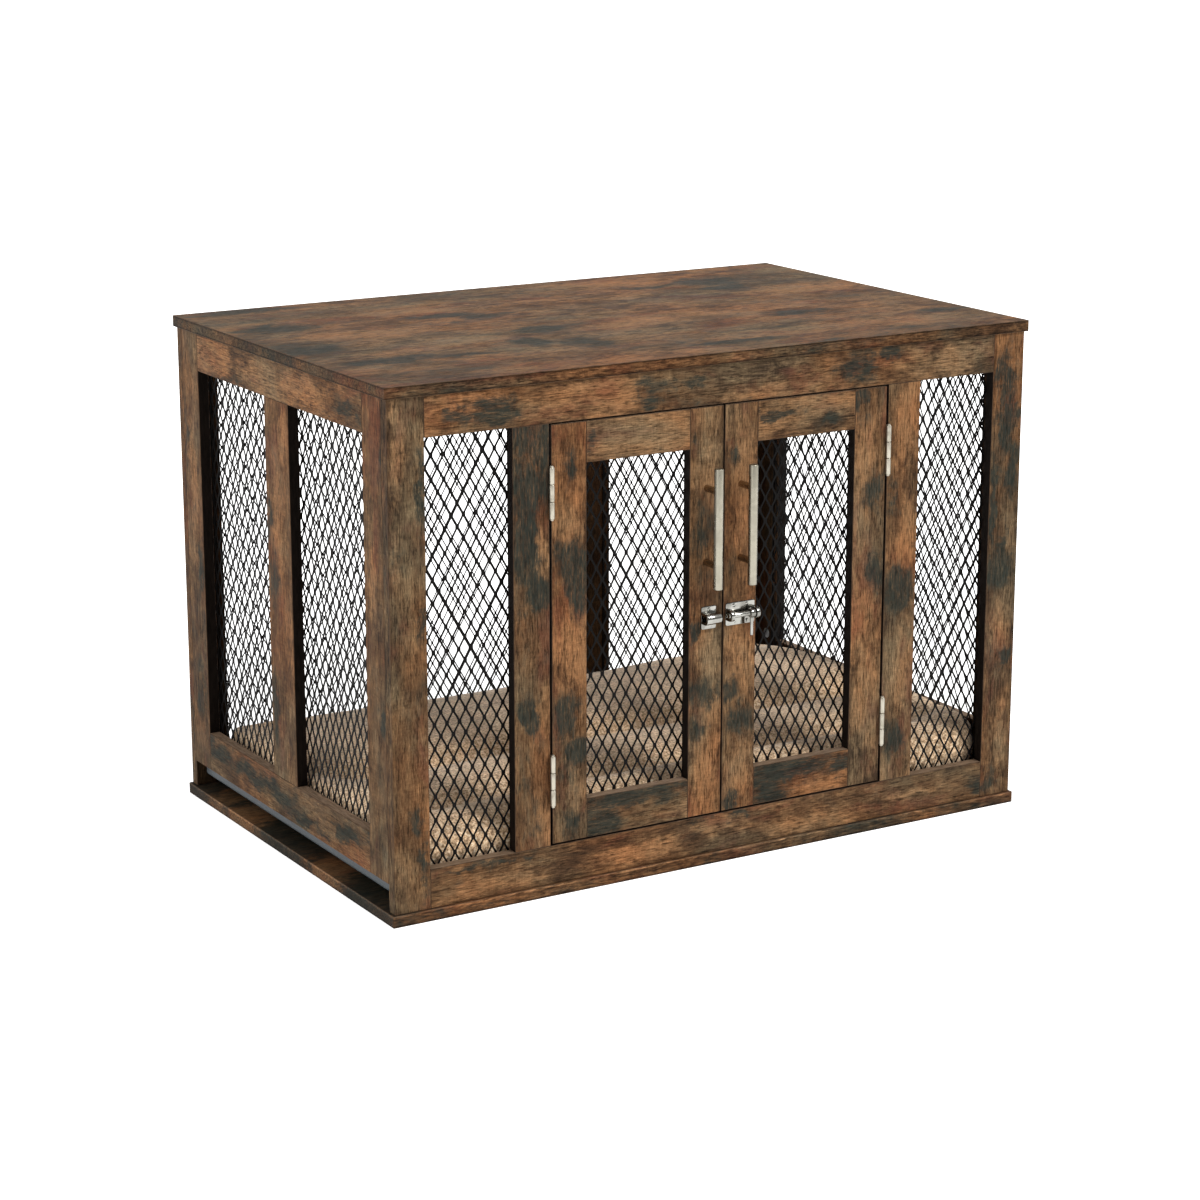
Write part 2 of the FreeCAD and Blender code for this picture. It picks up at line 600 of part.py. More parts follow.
def add_cam(cams, bolts, centre, inward, towards, cam_board, joined_board):
    """Add one cam lock with its bolt, and bore the two boards that it joins.

    centre lies on the board's inner face, inward points out of that face, and towards points at the joint.
    """
    axis = centre - inward * FRAME_THICK / 2
    joint = axis + towards * CAM_SETBACK
    pocket = rod(CAM_DIAMETER + 2 * BORE_CLEARANCE, centre - inward * (CAM_DEPTH + BORE_CLEARANCE), centre)
    cams.append(rod(CAM_DIAMETER, centre - inward * CAM_DEPTH, centre))
    start = axis + towards * (CAM_DIAMETER / 2 + BORE_CLEARANCE)
    end = joint + towards * CAM_BOLT_BITE
    bolts.append(rod(CAM_BOLT_DIAMETER, start, end))
    passage = rod(CAM_BOLT_DIAMETER + 2 * BORE_CLEARANCE, axis, end + towards * BORE_CLEARANCE)
    bore(cam_board, pocket)
    bore(cam_board, passage)
    bore(joined_board, passage)


def make_fittings():
    """Make the cam fittings of the side frames and the top, and the screws under the base."""
    cams = []
    bolts = []
    for side, sign in zip(SIDES, (-1, 1)):
        inward = -ALONG_X * sign
        for end, towards in (("front", -ALONG_Y), ("rear", ALONG_Y)):
            for height in CAM_HEIGHTS:
                centre = Vector(sign * INNER_X, 0, height) + towards * (INNER_Y - CAM_SETBACK)
                add_cam(cams, bolts, centre, inward, towards, f"{side}_{end}_stile", f"{end}_{side}_post")
    for end, towards in (("front", -ALONG_Y), ("rear", ALONG_Y)):
        for x in (-TOP_CAM_OUTER, -TOP_CAM_INNER, TOP_CAM_INNER, TOP_CAM_OUTER):
            centre = Vector(x, 0, BODY_TOP - CAM_SETBACK) + towards * INNER_Y
            add_cam(cams, bolts, centre, -towards, UP, f"{end}_top_rail", "top_panel")
    nodes["cam_locks"] = group(cams)
    nodes["cam_bolts"] = group(bolts)
    screws = []
    row = BODY_Y - FRAME_THICK / 2
    corner = BODY_X - POST_WIDTH / 2
    for end, y in (("front", -row), ("rear", row)):
        places = ((-corner, "left_post"), (-BASE_SCREW_INNER, "bottom_rail"),
                  (BASE_SCREW_INNER, "bottom_rail"), (corner, "right_post"))
        for x, member in places:
            head = Vector(x, y, 0)
            hole = countersunk(BASE_SCREW_DIAMETER, head, UP, BASE_SCREW_LENGTH, BORE_CLEARANCE)
            bore("base_panel", hole)
            bore(f"{end}_{member}", hole)
            screws.append(countersunk(BASE_SCREW_DIAMETER, head, UP, BASE_SCREW_LENGTH))
    nodes["base_screws"] = group(screws)


def main():
    """Make every node and write it to its own file."""
    make_panels()
    make_upright_frame("front", FRONT_FACE, -INNER_Y, MULLION_INNER, MULLION_OUTER)
    rear_mullion = REAR_MULLION_WIDTH / 2
    make_upright_frame("rear", INNER_Y, BODY_Y, REAR_MULLION_CENTRE - rear_mullion,
                       REAR_MULLION_CENTRE + rear_mullion)
    for side in SIDES:
        make_side_frame(side)
        make_door_frame(side)
    make_meshes()
    make_hinges()
    make_handles()
    make_latch()
    make_tray()
    make_cushion()
    make_fittings()
    os.makedirs("parts", exist_ok=True)
    for name, shape in nodes.items():
        shape.exportStep(f"parts/{name}.step")
    print(f"{len(nodes)} nodes")


main()
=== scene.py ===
"""Looks of the furniture-style pet crate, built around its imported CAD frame.

Metres. +Z is up, the front faces -Y, and +X is to the right seen from the front.
"""
import logging
import math
from dataclasses import dataclass, fields
from enum import Enum

import bmesh
import bpy
from mathutils import Matrix, Vector


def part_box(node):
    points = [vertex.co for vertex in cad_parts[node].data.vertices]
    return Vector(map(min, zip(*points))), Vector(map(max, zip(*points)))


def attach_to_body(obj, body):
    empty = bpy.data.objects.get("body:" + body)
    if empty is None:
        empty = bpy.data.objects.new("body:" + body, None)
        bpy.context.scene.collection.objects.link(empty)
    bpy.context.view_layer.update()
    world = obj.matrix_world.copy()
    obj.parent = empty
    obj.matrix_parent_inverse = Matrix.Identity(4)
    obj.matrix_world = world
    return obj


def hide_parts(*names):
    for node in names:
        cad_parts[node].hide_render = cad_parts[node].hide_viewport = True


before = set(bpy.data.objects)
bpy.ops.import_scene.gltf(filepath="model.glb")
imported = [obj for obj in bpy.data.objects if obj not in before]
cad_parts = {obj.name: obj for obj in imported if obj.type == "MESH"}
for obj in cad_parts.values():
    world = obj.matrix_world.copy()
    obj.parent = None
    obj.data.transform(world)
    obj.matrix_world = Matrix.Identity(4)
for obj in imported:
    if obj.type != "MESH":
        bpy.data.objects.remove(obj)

log = logging.getLogger("crate")

NODES: dict[str, bpy.types.Object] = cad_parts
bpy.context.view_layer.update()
MM = 0.001

Colour = tuple[float, float, float, float]
Value = float | Colour | tuple[float, float, float] | bpy.types.NodeSocket


class Axis(Enum):
    """A direction of the crate, as the index of its coordinate."""

    X = 0
    Y = 1
    Z = 2

    @property
    def vector(self) -> Vector:
        """Return the unit vector along this axis."""
        return Vector([float(index == self.value) for index in range(3)])


class Body(Enum):
    """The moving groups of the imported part."""

    FRAME = "frame"
    LEFT_DOOR = "left_door"
    RIGHT_DOOR = "right_door"
    BOLT = "latch_bolt"
    KNOB = "latch_knob"
    TRAY = "tray"


class Slot(Enum):
    """The finishes that the record names."""

    WOOD = "wood"
    MESH = "mesh"
    HINGE = "hinge_steel"
    HANDLE = "handle_nickel"
    LATCH = "latch_chrome"
    CUSHION = "cushion_fabric"
    TRAY = "tray"
    GUIDE = "guide_steel"
    FITTING = "fittings"


class Side(Enum):
    """Left or right, as the sign of its X."""

    LEFT = -1
    RIGHT = 1

    @property
    def word(self) -> str:
        """Return the side's name as node names spell it."""
        return self.name.lower()

    @property
    def door(self) -> Body:
        """Return the door on this side."""
        return Body.LEFT_DOOR if self is Side.LEFT else Body.RIGHT_DOOR

    @property
    def mirror(self) -> Matrix:
        """Return the matrix that takes a shape made for the right to this side."""
        return Matrix.Diagonal((self.value, 1, 1, 1))


def tone(red: int, green: int, blue: int) -> Colour:
    """Return a display colour as the linear colour that shaders take.

    Args:
        red: Red level, 0 to 255.
        green: Green level, 0 to 255.
        blue: Blue level, 0 to 255.

    Returns:
        The linear colour with full alpha.
    """
    linear = []
    for level in (red, green, blue):
        share = level / 255
        linear.append(share / 12.92 if share <= 0.04045 else ((share + 0.055) / 1.055) ** 2.4)
    return (*linear, 1.0)


Socket = bpy.types.NodeSocket
Span = tuple[float, ...]
OUTER_EDGES = ((Axis.X, 475.6 * MM), (Axis.Y, 311.0 * MM))
BROAD: Span = (0.80, 0.95)
VECTOR = "NodeSocketVector"
NUMBER = "NodeSocketFloat"
COLOUR = "NodeSocketColor"


@dataclass(frozen=True)
class Noise:
    """A noise: cells per metre along each coordinate, and how finer layers are added and swirled."""

    scale: tuple[float, float, float]
    detail: float
    roughness: float
    swirl: float = 0.0


class Graph:
    """A node tree that is being built, with short calls to add and join nodes."""

    def __init__(self, tree: bpy.types.NodeTree) -> None:
        """Keep the tree."""
        self.tree = tree

    def feed(self, socket: Socket, value: Value) -> None:
        """Link a socket to another one, or set its own value."""
        if isinstance(value, Socket):
            self.tree.links.new(value, socket)
        else:
            socket.default_value = value

    def add(self, kind: str, inputs: dict[str | int, Value] | None = None,
            **settings: object) -> bpy.types.Node:
        """Add a node.

        Args:
            kind: The node's type name, without what all shader nodes share.
            inputs: Values or sockets for its inputs, by name or index.
            **settings: The node's own properties, set before its inputs.

        Returns:
            The new node.
        """
        node = self.tree.nodes.new(kind if kind.startswith("Node") else f"ShaderNode{kind}")
        for name, value in settings.items():
            setattr(node, name, value)
        for name, value in (inputs or {}).items():
            self.feed(node.inputs[name], value)
        return node

    def math(self, operation: str, *values: Value, clamp: bool = False) -> Socket:
        """Return the result of a Math node."""
        inputs = dict(enumerate(values))
        return self.add("Math", inputs, operation=operation, use_clamp=clamp).outputs[0]

    def vector(self, operation: str, *values: Value, out: str = "Vector") -> Socket:
        """Return one output of a Vector Math node."""
        inputs = dict(enumerate(values))
        return self.add("VectorMath", inputs, operation=operation).outputs[out]

    def total(self, *parts: tuple[Value, float]) -> Socket:
        """Return the sum of some values, each times its weight."""
        result: Value = 0.0
        for value, weight in parts:
            result = self.math("MULTIPLY_ADD", value, weight, result)
        return result

    def parts(self, vector: Value) -> bpy.types.bpy_prop_collection:
        """Return the three coordinates of a vector."""
        return self.add("SeparateXYZ", {0: vector}).outputs

    def noise(self, place: Value, noise: Noise) -> Socket:
        """Return a noise value around 0.5 at a place in metres."""
        scaled = self.add("Mapping", {"Vector": place, "Scale": noise.scale}).outputs[0]
        inputs = {"Vector": scaled, "Scale": 1.0, "Detail": noise.detail, "Roughness": noise.roughness,
                  "Distortion": noise.swirl}
        return self.add("TexNoise", inputs).outputs[0]

    def span(self, value: Value, low: float, high: float, to_low: float = 0.0,
             to_high: float = 1.0) -> Socket:
        """Return a value eased from one range to another and held at its ends."""
        inputs = {"Value": value, "From Min": low, "From Max": high, "To Min": to_low, "To Max": to_high}
        return self.add("MapRange", inputs, interpolation_type="SMOOTHSTEP").outputs[0]

    def ramp(self, value: Value, stops: tuple[tuple[float, Colour], ...]) -> Socket:
        """Return a colour read from a row of stops."""
        node = self.add("ValToRGB", {0: value})
        elements = node.color_ramp.elements
        while len(elements) < len(stops):
            elements.new(1.0)
        for element, (place, colour) in zip(elements, stops):
            element.position = place
            element.color = colour
        return node.outputs[0]

    def mix(self, share: Value, first: Value, second: Value, blend: str = "MIX") -> Socket:
        """Return one colour blended over another."""
        inputs = {0: share, 6: first, 7: second}
        return self.add("Mix", inputs, data_type="RGBA", blend_type=blend).outputs[2]

    def shade(self, colour: Value, factor: Value) -> Socket:
        """Return a colour made darker or lighter by a factor."""
        tint = colour if isinstance(colour, Socket) else colour[:3]
        return self.add("VectorMath", {0: tint, 3: factor}, operation="SCALE").outputs[0]

    def bump(self, height: Value, depth: float, strength: float) -> Socket:
        """Return a normal from a height, depth metres deep."""
        return self.add("Bump", {"Height": height, "Distance": depth, "Strength": strength}).outputs[0]


class Effect:
    """A shader node group that several materials share."""

    def __init__(self, name: str, inputs: dict[str, str], outputs: dict[str, str]) -> None:
        """Make an empty group.

        Args:
            name: The group's name.
            inputs: Socket type by input name.
            outputs: Socket type by output name.
        """
        self.tree = bpy.data.node_groups.new(name, "ShaderNodeTree")
        for way, sockets in (("INPUT", inputs), ("OUTPUT", outputs)):
            for socket, kind in sockets.items():
                self.tree.interface.new_socket(socket, in_out=way, socket_type=kind)
        self.graph = Graph(self.tree)
        self.given = self.graph.add("NodeGroupInput").outputs
        self.result = self.graph.add("NodeGroupOutput").inputs

    def give(self, **values: Value) -> None:
        """Join outputs of the group."""
        for name, value in values.items():
            self.graph.feed(self.result[name], value)

    def place(self, graph: Graph, **inputs: Value) -> bpy.types.bpy_prop_collection:
        """Put the group into a material and return its outputs."""
        return graph.add("Group", inputs, node_tree=self.tree).outputs


@dataclass(frozen=True)
class BoardPrint:
    """The printed rustic grain: brown streaks, tan glow, slate-dark stains, fibres and saw marks.

    Each noise runs along the grain, across it and through the board.
    """

    blotch: Noise = Noise((8.5, 17, 17), 9, 0.68, 0.3)
    streak: Noise = Noise((16, 150, 150), 5, 0.66, 0.3)
    fibre: Noise = Noise((80, 760, 760), 3, 0.65)
    cloud: Noise = Noise((6.0, 11, 11), 9, 0.64, 0.3)
    glow: Noise = Noise((7.5, 15, 25), 9, 0.68, 0.3)
    rust: Noise = Noise((9, 21, 19), 7, 0.64, 0.3)
    saw: Noise = Noise((400, 60, 60), 3, 0.6)
    crack: Noise = Noise((62, 330, 330), 6, 0.74)
    fleck: Noise = Noise((70, 520, 520), 5, 0.72)
    torn: Noise = Noise((26, 44, 44), 8, 0.72, 0.5)
    line: Noise = Noise((8, 380, 380), 4, 0.72)
    worn: Noise = Noise((16, 28, 28), 5, 0.65)
    hue: Noise = Noise((4.6, 8.6, 8.6), 7, 0.62, 0.3)
    browns: tuple = ((0.36, tone(44, 32, 23)), (0.45, tone(64, 46, 32)), (0.51, tone(79, 58, 40)),
                     (0.57, tone(93, 70, 49)), (0.66, tone(112, 87, 62)))
    tints: tuple = ((0.37, (0.80, 0.98, 1.08, 1.0)), (0.50, (0.98, 0.96, 0.90, 1.0)),
                    (0.63, (1.12, 0.93, 0.78, 1.0)))
    tan: Colour = tone(121, 90, 63)
    rust_tone: Colour = tone(86, 50, 37)
    slates: tuple[Colour, Colour] = (tone(13, 18, 18), tone(42, 46, 40))
    streak_rest: float = 0.3
    saw_rest: float = 0.52
    warm_share: Span = (0.46, 0.80, 0.0, 0.80)
    rust_share: Span = (0.50, 0.68, 0.0, 0.55)
    fibre_level: Span = (0.28, 0.72, 0.62, 1.36)
    saw_share: Span = (0.38, 0.60, 0.30, 0.90)
    fleck_level: Span = (0.52, 0.70, 0.96, 1.45)
    line_level: Span = (0.52, 0.68, 1.04, 0.50)
    crack_level: Span = (0.33, 0.53, 0.32, 1.12)
    soak_share: Span = (0.47, 0.76)
    dry_share: Span = (0.40, 0.70, 0.95, 0.60)
    ink_level: Span = (0.30, 0.60, 0.55, 1.35)
    gloss: Span = (0.5, 1.1, 0.46, 0.68)

    def effect(self) -> Effect:
        """Return the print as a group that is told where it is and how stained and glowing it is there."""
        effect = Effect("board_print", {"Vector": VECTOR, "Stain": NUMBER, "Glow": NUMBER},
                        {"Color": COLOUR, "Height": NUMBER, "Roughness": NUMBER})
        graph = effect.graph
        drawn = {item.name: graph.noise(effect.given["Vector"], getattr(self, item.name))
                 for item in fields(self) if isinstance(item.default, Noise)}
        streak, fibre, crack, fleck = (drawn[name] for name in ("streak", "fibre", "crack", "fleck"))
        off_streak = graph.math("SUBTRACT", streak, self.streak_rest)
        base = graph.total((drawn["blotch"], 0.60), (drawn["torn"], 0.35), (off_streak, 0.25))
        brown = graph.ramp(base, self.browns)
        uneven = graph.total((graph.math("SUBTRACT", drawn["torn"], 0.5), 0.95),
                             (graph.math("SUBTRACT", streak, 0.5), 0.30))
        lit = graph.total((drawn["glow"], 1), (effect.given["Glow"], 1), (uneven, 1))
        warm = graph.mix(graph.span(lit, *self.warm_share), brown, self.tan)
        rusted = graph.mix(graph.span(drawn["rust"], *self.rust_share), warm, self.rust_tone)
        colour = graph.mix(1.0, rusted, graph.ramp(drawn["hue"], self.tints), "MULTIPLY")
        colour = graph.shade(colour, graph.span(fibre, *self.fibre_level))
        sawn = graph.math("SUBTRACT", drawn["saw"], self.saw_rest)
        saw_share = graph.span(drawn["worn"], *self.saw_share)
        colour = graph.shade(colour, graph.math("MULTIPLY_ADD", sawn, saw_share, 1.0))
        for noise, level in ((fleck, self.fleck_level), (drawn["line"], self.line_level),
                             (crack, self.crack_level)):
            colour = graph.shade(colour, graph.span(noise, *level))
        soak = graph.total((drawn["cloud"], 1), (effect.given["Stain"], 1), (uneven, 1))
        stained = graph.math("MULTIPLY", graph.span(soak, *self.soak_share),
                             graph.span(fleck, *self.dry_share))
        inked = graph.shade(graph.mix(streak, *self.slates), graph.span(crack, *self.ink_level))
        rough = graph.total((fibre, 1), (drawn["worn"], 0.6))
        effect.give(Color=graph.mix(stained, colour, inked), Height=graph.total((fibre, 0.6), (crack, 0.5)),
                    Roughness=graph.span(rough, *self.gloss))
        return effect


def board_edge_effect() -> Effect:
    """Return masks of a board's broad faces, inner face and eased edges, from the surface's direction."""
    effect = Effect("board_edge", {"Normal": VECTOR, "Face": VECTOR},
                    {"Face": NUMBER, "Inner": NUMBER, "Ease": NUMBER})
    graph = effect.graph
    dot = graph.vector("DOT_PRODUCT", effect.given["Normal"], effect.given["Face"], out="Value")
    towards = graph.math("ABSOLUTE", dot)
    broad = graph.span(towards, *BROAD)
    eased = graph.math("SUBTRACT", graph.span(towards, 0.25, 0.55), broad, clamp=True)
    effect.give(Face=broad, Inner=graph.span(graph.math("MULTIPLY", dot, -1.0), *BROAD), Ease=eased)
    return effect


def metal_wear_effect() -> Effect:
    """Return what handling leaves on metal: drawn lines, smudges and fine pits."""
    effect = Effect("metal_wear", {"Vector": VECTOR, "Lines": VECTOR},
                    {"Lines": NUMBER, "Smudge": NUMBER, "Pits": NUMBER})
    graph = effect.graph
    place = effect.given["Vector"]
    stretched = graph.vector("MULTIPLY", place, effect.given["Lines"])
    effect.give(Lines=graph.noise(stretched, Noise((1, 1, 1), 2, 0.6)),
                Smudge=graph.noise(place, Noise((45, 45, 45), 4, 0.6, 0.5)),
                Pits=graph.noise(place, Noise((1600, 1600, 1600), 2, 0.5)))
    return effect


BOARD_PRINT = BoardPrint().effect()
BOARD_EDGE = board_edge_effect()
METAL_WEAR = metal_wear_effect()


class Finish:
    """A material that is built once, when it is first asked for."""

    name: str

    def material(self) -> bpy.types.Material:
        """Return the material, building it if it isn't there yet."""
        return bpy.data.materials.get(self.name) or self.build()

    def build(self) -> bpy.types.Material:
        """Build the material, whose surface takes what the finish paints."""
        material = bpy.data.materials.new(self.name)
        material.use_nodes = True
        material.node_tree.nodes.clear()
        graph = Graph(material.node_tree)
        shader = graph.add("BsdfPrincipled")
        graph.add("OutputMaterial", {"Surface": shader.outputs[0]})
        coordinates = graph.add("TexCoord").outputs
        for name, value in self.paint(graph, coordinates["Object"], coordinates["Normal"]).items():
            graph.feed(shader.inputs[name], value)
        return material

    def paint(self, graph: Graph, place: Value, normal: Value) -> dict[str, Value]:
        """Return what goes into the surface shader; each finish has its own.

        Args:
            graph: The material's graph.
            place: The point on the object, in metres.
            normal: The way that the surface faces.

        Returns:
            Values or sockets by the name of the shader's input.
        """
        raise NotImplementedError


Patch = tuple[float, float, float, float]


@dataclass(frozen=True)
class Marks:
    """Where a board's print is dark or light.

    Each patch is its centre along and across the grain and its half sizes along and across it, in mm.
    """

    dark: tuple[Patch, ...] = ()
    light: tuple[Patch, ...] = ()
    stain: float = -0.03
    glow: float = 0.0
    reach: float = 0.34
    ragged: float = 60 * MM
    falloff: tuple[float, float] = (0.2, 1.9)

    def field(self, graph: Graph, place: Value, patches: tuple[Patch, ...], base: float) -> Value:
        """Return a level that rises from the base in the middle of each patch.

        Args:
            graph: The material's graph.
            place: Coordinates along and across the grain, in metres.
            patches: The patches.
            base: The level between them.

        Returns:
            The base itself if there are no patches, or else a socket.
        """
        if not patches:
            return base
        place = self.warped(graph, place)
        nearest = None
        for along, across, length, width in patches:
            off = graph.vector("SUBTRACT", place, (along * MM, across * MM, 0.0))
            sized = graph.vector("MULTIPLY", off, (1 / (length * MM), 1 / (width * MM), 0.0))
            away = graph.vector("LENGTH", sized, out="Value")
            nearest = away if nearest is None else graph.math("MINIMUM", nearest, away)
        return graph.span(nearest, *self.falloff, base + self.reach, base)

    def warped(self, graph: Graph, place: Value) -> Socket:
        """Return the coordinates pushed about, so that the patches get ragged outlines."""
        push = graph.add("TexNoise", {"Vector": place, "Scale": 24.0, "Detail": 6.0, "Roughness": 0.66})
        even = graph.vector("SUBTRACT", push.outputs["Color"], (0.5, 0.5, 0.5))
        return graph.vector("ADD", place, graph.shade(even, self.ragged))


@dataclass(frozen=True)
class Rim:
    """Painted shade and painted highlight on the edge of a panel: lines that darken or brighten it towards
    its lower and upper arris.
    """

    low: float
    high: float
    # under: painted shade at the lower arris; over: painted shade at the upper arris below 1, a painted
    # highlight above 1.
    under: float
    over: float
    middle: float = 0.86
    line: float = 2.4 * MM
    fade: tuple[float, float] = (0.5, 1.4)

    def shaded(self, graph: Graph, colour: Value, height: Value) -> Socket:
        """Return the edge's colour with its two painted rim lines, and darkened by the middle share below the
        upper one.

        Args:
            graph: The material's graph.
            colour: The edge's own colour.
            height: Height of the point, in metres.

        Returns:
            The colour's socket.
        """
        near, far = (share * self.line for share in self.fade)
        upper = graph.span(height, self.high - far, self.high - near, self.middle, self.over)
        lower = graph.span(height, self.low + near, self.low + far, self.under, 1.0)
        return graph.shade(graph.shade(colour, upper), lower)


@dataclass(frozen=True)
class BoardFinish(Finish):
    """Rustic laminate on one board, with painted shade inside the crate and painted light on its sills and
    arrises.
    """

    name: str
    grain: Axis
    face: Axis
    outward: int
    shift: tuple[float, float, float]
    marks: Marks = Marks()
    rim: Rim | None = None
    # Painted shade: the faces that look into the crate are darkened to this share, as the inside gets little
    # light.
    inner: float = 0.38
    # Painted shade: the narrow faces inside the crate's outline, the window reveals, are near black as if in
    # shade.
    band: Colour = tone(18, 13, 10)
    # Eased arrises: a thin line of painted highlight, mottled like wear.
    eased: Colour = tone(76, 59, 46)
    # Painted light: the narrow faces that look up, the sills, are paler as if lit from above.
    sill: Colour = tone(112, 92, 74)
    sill_from: float = 0.0
    mottle: Noise = Noise((60, 420, 420), 4, 0.65)
    band_level: Span = (0.3, 0.7, 0.6, 1.45)
    wrap_level: Span = (0.35, 0.6, 0.40, 1.05)
    sill_level: Span = (0.3, 0.7, 0.6, 1.3)
    arris_wear_and_highlight_level: Span = (0.35, 0.6, 0.35, 0.9)

    def edge(self, graph: Graph, printed: Value, mottle: Value,
             split: bpy.types.bpy_prop_collection, normal: Value) -> Socket:
        """Return the colour of the narrow faces.

        Args:
            graph: The material's graph.
            printed: The print's colour, which wraps round the crate's outside.
            mottle: A fine noise.
            split: The point's three coordinates.
            normal: The way that the surface faces.

        Returns:
            Painted shade on the narrow faces inside, wrapped print outside, and painted light on the sills
            that look up.
        """
        # Painted shade on the narrow faces inside the crate; those on its outside take the wrapped print.
        band = graph.shade(self.band, graph.span(mottle, *self.band_level))
        ends = [graph.span(graph.math("ABSOLUTE", split[axis.value]), reach - 0.4 * MM, reach)
                for axis, reach in OUTER_EDGES]
        wrap = graph.shade(printed, graph.span(mottle, *self.wrap_level))
        if self.rim:
            wrap = self.rim.shaded(graph, wrap, split[self.face.value])
        edge = graph.mix(graph.math("MAXIMUM", *ends), band, wrap)
        if self.face is Axis.Z:
            return edge
        # Painted light on the narrow faces that look up, beyond sill_from along X.
        up = graph.span(graph.parts(normal)[2], *BROAD)
        sill = graph.shade(self.sill, graph.span(mottle, *self.sill_level))
        aside = graph.math("ABSOLUTE", split[0])
        beyond = graph.span(aside, self.sill_from - 1 * MM, self.sill_from)
        return graph.mix(graph.math("MULTIPLY", up, beyond), edge, sill)

    def paint(self, graph: Graph, place: Value, normal: Value) -> dict[str, Value]:
        """Paint the print along the grain, painted shade on the inner faces and the inside edges, painted
        light on the sills and a painted highlight on the eased edges.
        """
        split = graph.parts(place)
        across = next(axis for axis in Axis if axis not in (self.grain, self.face))
        ways = [split[axis.value] for axis in (self.grain, across, self.face)]
        turned = graph.add("CombineXYZ", dict(enumerate(ways))).outputs[0]
        placed = graph.add("Mapping", {"Vector": turned, "Location": self.shift}).outputs[0]
        stain = self.marks.field(graph, turned, self.marks.dark, self.marks.stain)
        glow = self.marks.field(graph, turned, self.marks.light, self.marks.glow)
        printed = BOARD_PRINT.place(graph, Vector=placed, Stain=stain, Glow=glow)
        masks = BOARD_EDGE.place(graph, Normal=normal, Face=self.face.vector * self.outward)
        mottle = graph.noise(placed, self.mottle)
        # Painted shade on the faces that look into the crate.
        shown = graph.shade(printed["Color"], graph.span(masks["Inner"], 0.0, 1.0, 1.0, self.inner))
        edge = self.edge(graph, printed["Color"], mottle, split, normal)
        # The eased arrises take a painted highlight line, mottled like wear.
        worn = graph.math("MULTIPLY", masks["Ease"], graph.span(mottle, *self.arris_wear_and_highlight_level))
        surface = graph.mix(worn, graph.mix(masks["Face"], edge, shown), self.eased)
        return {"Base Color": surface, "Roughness": printed["Roughness"], "Specular IOR Level": 0.035,
                "Normal": graph.bump(printed["Height"], 0.12 * MM, 0.6)}


@dataclass(frozen=True)
class PowderCoat(Finish):
    """Black powder coat on the expanded metal."""

    name: str = "black_powder_coat"
    thick: Colour = tone(6, 5, 5)
    thin: Colour = tone(13, 11, 10)
    skin: tuple[float, float, float] = (900, 900, 900)
    gloss: Span = (0.3, 0.7, 0.36, 0.56)

    def paint(self, graph: Graph, place: Value, normal: Value) -> dict[str, Value]:
        """Paint a black coat with a fine skin and slightly thinner patches."""
        wear = METAL_WEAR.place(graph, Vector=place, Lines=self.skin)
        return {"Base Color": graph.mix(wear["Smudge"], self.thick, self.thin),
                "Roughness": graph.span(wear["Pits"], *self.gloss), "Specular IOR Level": 0.06,
                "Normal": graph.bump(wear["Lines"], 0.04 * MM, 0.7)}


@dataclass(frozen=True)
class BareMetal(Finish):
    """Plated or drawn metal; lines are cells per metre along each coordinate."""

    name: str
    colour: Colour
    dull: Colour
    lines: tuple[float, float, float]
    smooth: float
    rough: float
    line_depth: float = 0.01 * MM
    smudged: Span = (0.42, 0.68)

    def paint(self, graph: Graph, place: Value, normal: Value) -> dict[str, Value]:
        """Paint bright metal with drawn lines, smudges and pits."""
        wear = METAL_WEAR.place(graph, Vector=place, Lines=self.lines)
        share = graph.span(wear["Smudge"], *self.smudged)
        level = graph.total((wear["Lines"], 0.6), (share, 0.4))
        return {"Base Color": graph.mix(share, self.colour, self.dull), "Metallic": 1.0,
                "Roughness": graph.span(level, 0.15, 0.75, self.smooth, self.rough),
                "Normal": graph.bump(wear["Lines"], self.line_depth, 0.6)}


@dataclass(frozen=True)
class SpangledSteel(Finish):
    """Zinc-coated steel with its crystal spangle."""

    name: str
    colour: Colour
    dull: Colour
    cells: float
    skin: tuple[float, float, float] = (300, 300, 300)
    least_rough: float = 0.14

    def paint(self, graph: Graph, place: Value, normal: Value) -> dict[str, Value]:
        """Paint crystal patches of differing brightness under fine pits."""
        wear = METAL_WEAR.place(graph, Vector=place, Lines=self.skin)
        crystal = graph.add("TexVoronoi", {"Vector": place, "Scale": self.cells}).outputs["Color"]
        level = graph.add("SeparateColor", {0: crystal}).outputs[0]
        rough = graph.total((level, 0.16), (wear["Smudge"], 0.4))
        return {"Base Color": graph.mix(level, self.dull, self.colour), "Metallic": 1.0,
                "Roughness": graph.math("ADD", rough, self.least_rough),
                "Normal": graph.bump(wear["Pits"], 0.02 * MM, 0.5)}


@dataclass(frozen=True)
class TrayPlastic(Finish):
    """Moulded blue-grey plastic of the tray."""

    name: str = "tray_plastic"
    deep: Colour = tone(30, 38, 43)
    pale: Colour = tone(46, 55, 60)
    scuffed: Colour = tone(70, 84, 88)
    skin: Noise = Noise((700, 700, 700), 3, 0.6)
    scuff: Noise = Noise((12, 420, 420), 4, 0.7)
    cloud: Noise = Noise((9, 9, 9), 4, 0.6)
    scuff_share: Span = (0.58, 0.75, 0.0, 0.35)
    gloss: Span = (0.3, 0.7, 0.38, 0.58)

    def paint(self, graph: Graph, place: Value, normal: Value) -> dict[str, Value]:
        """Paint a leathery moulded skin with faint scuffs along the way it slides."""
        skin = graph.noise(place, self.skin)
        base = graph.mix(graph.noise(place, self.cloud), self.deep, self.pale)
        share = graph.span(graph.noise(place, self.scuff), *self.scuff_share)
        return {"Base Color": graph.mix(share, base, self.scuffed),
                "Roughness": graph.span(skin, *self.gloss), "Normal": graph.bump(skin, 0.08 * MM, 0.5)}


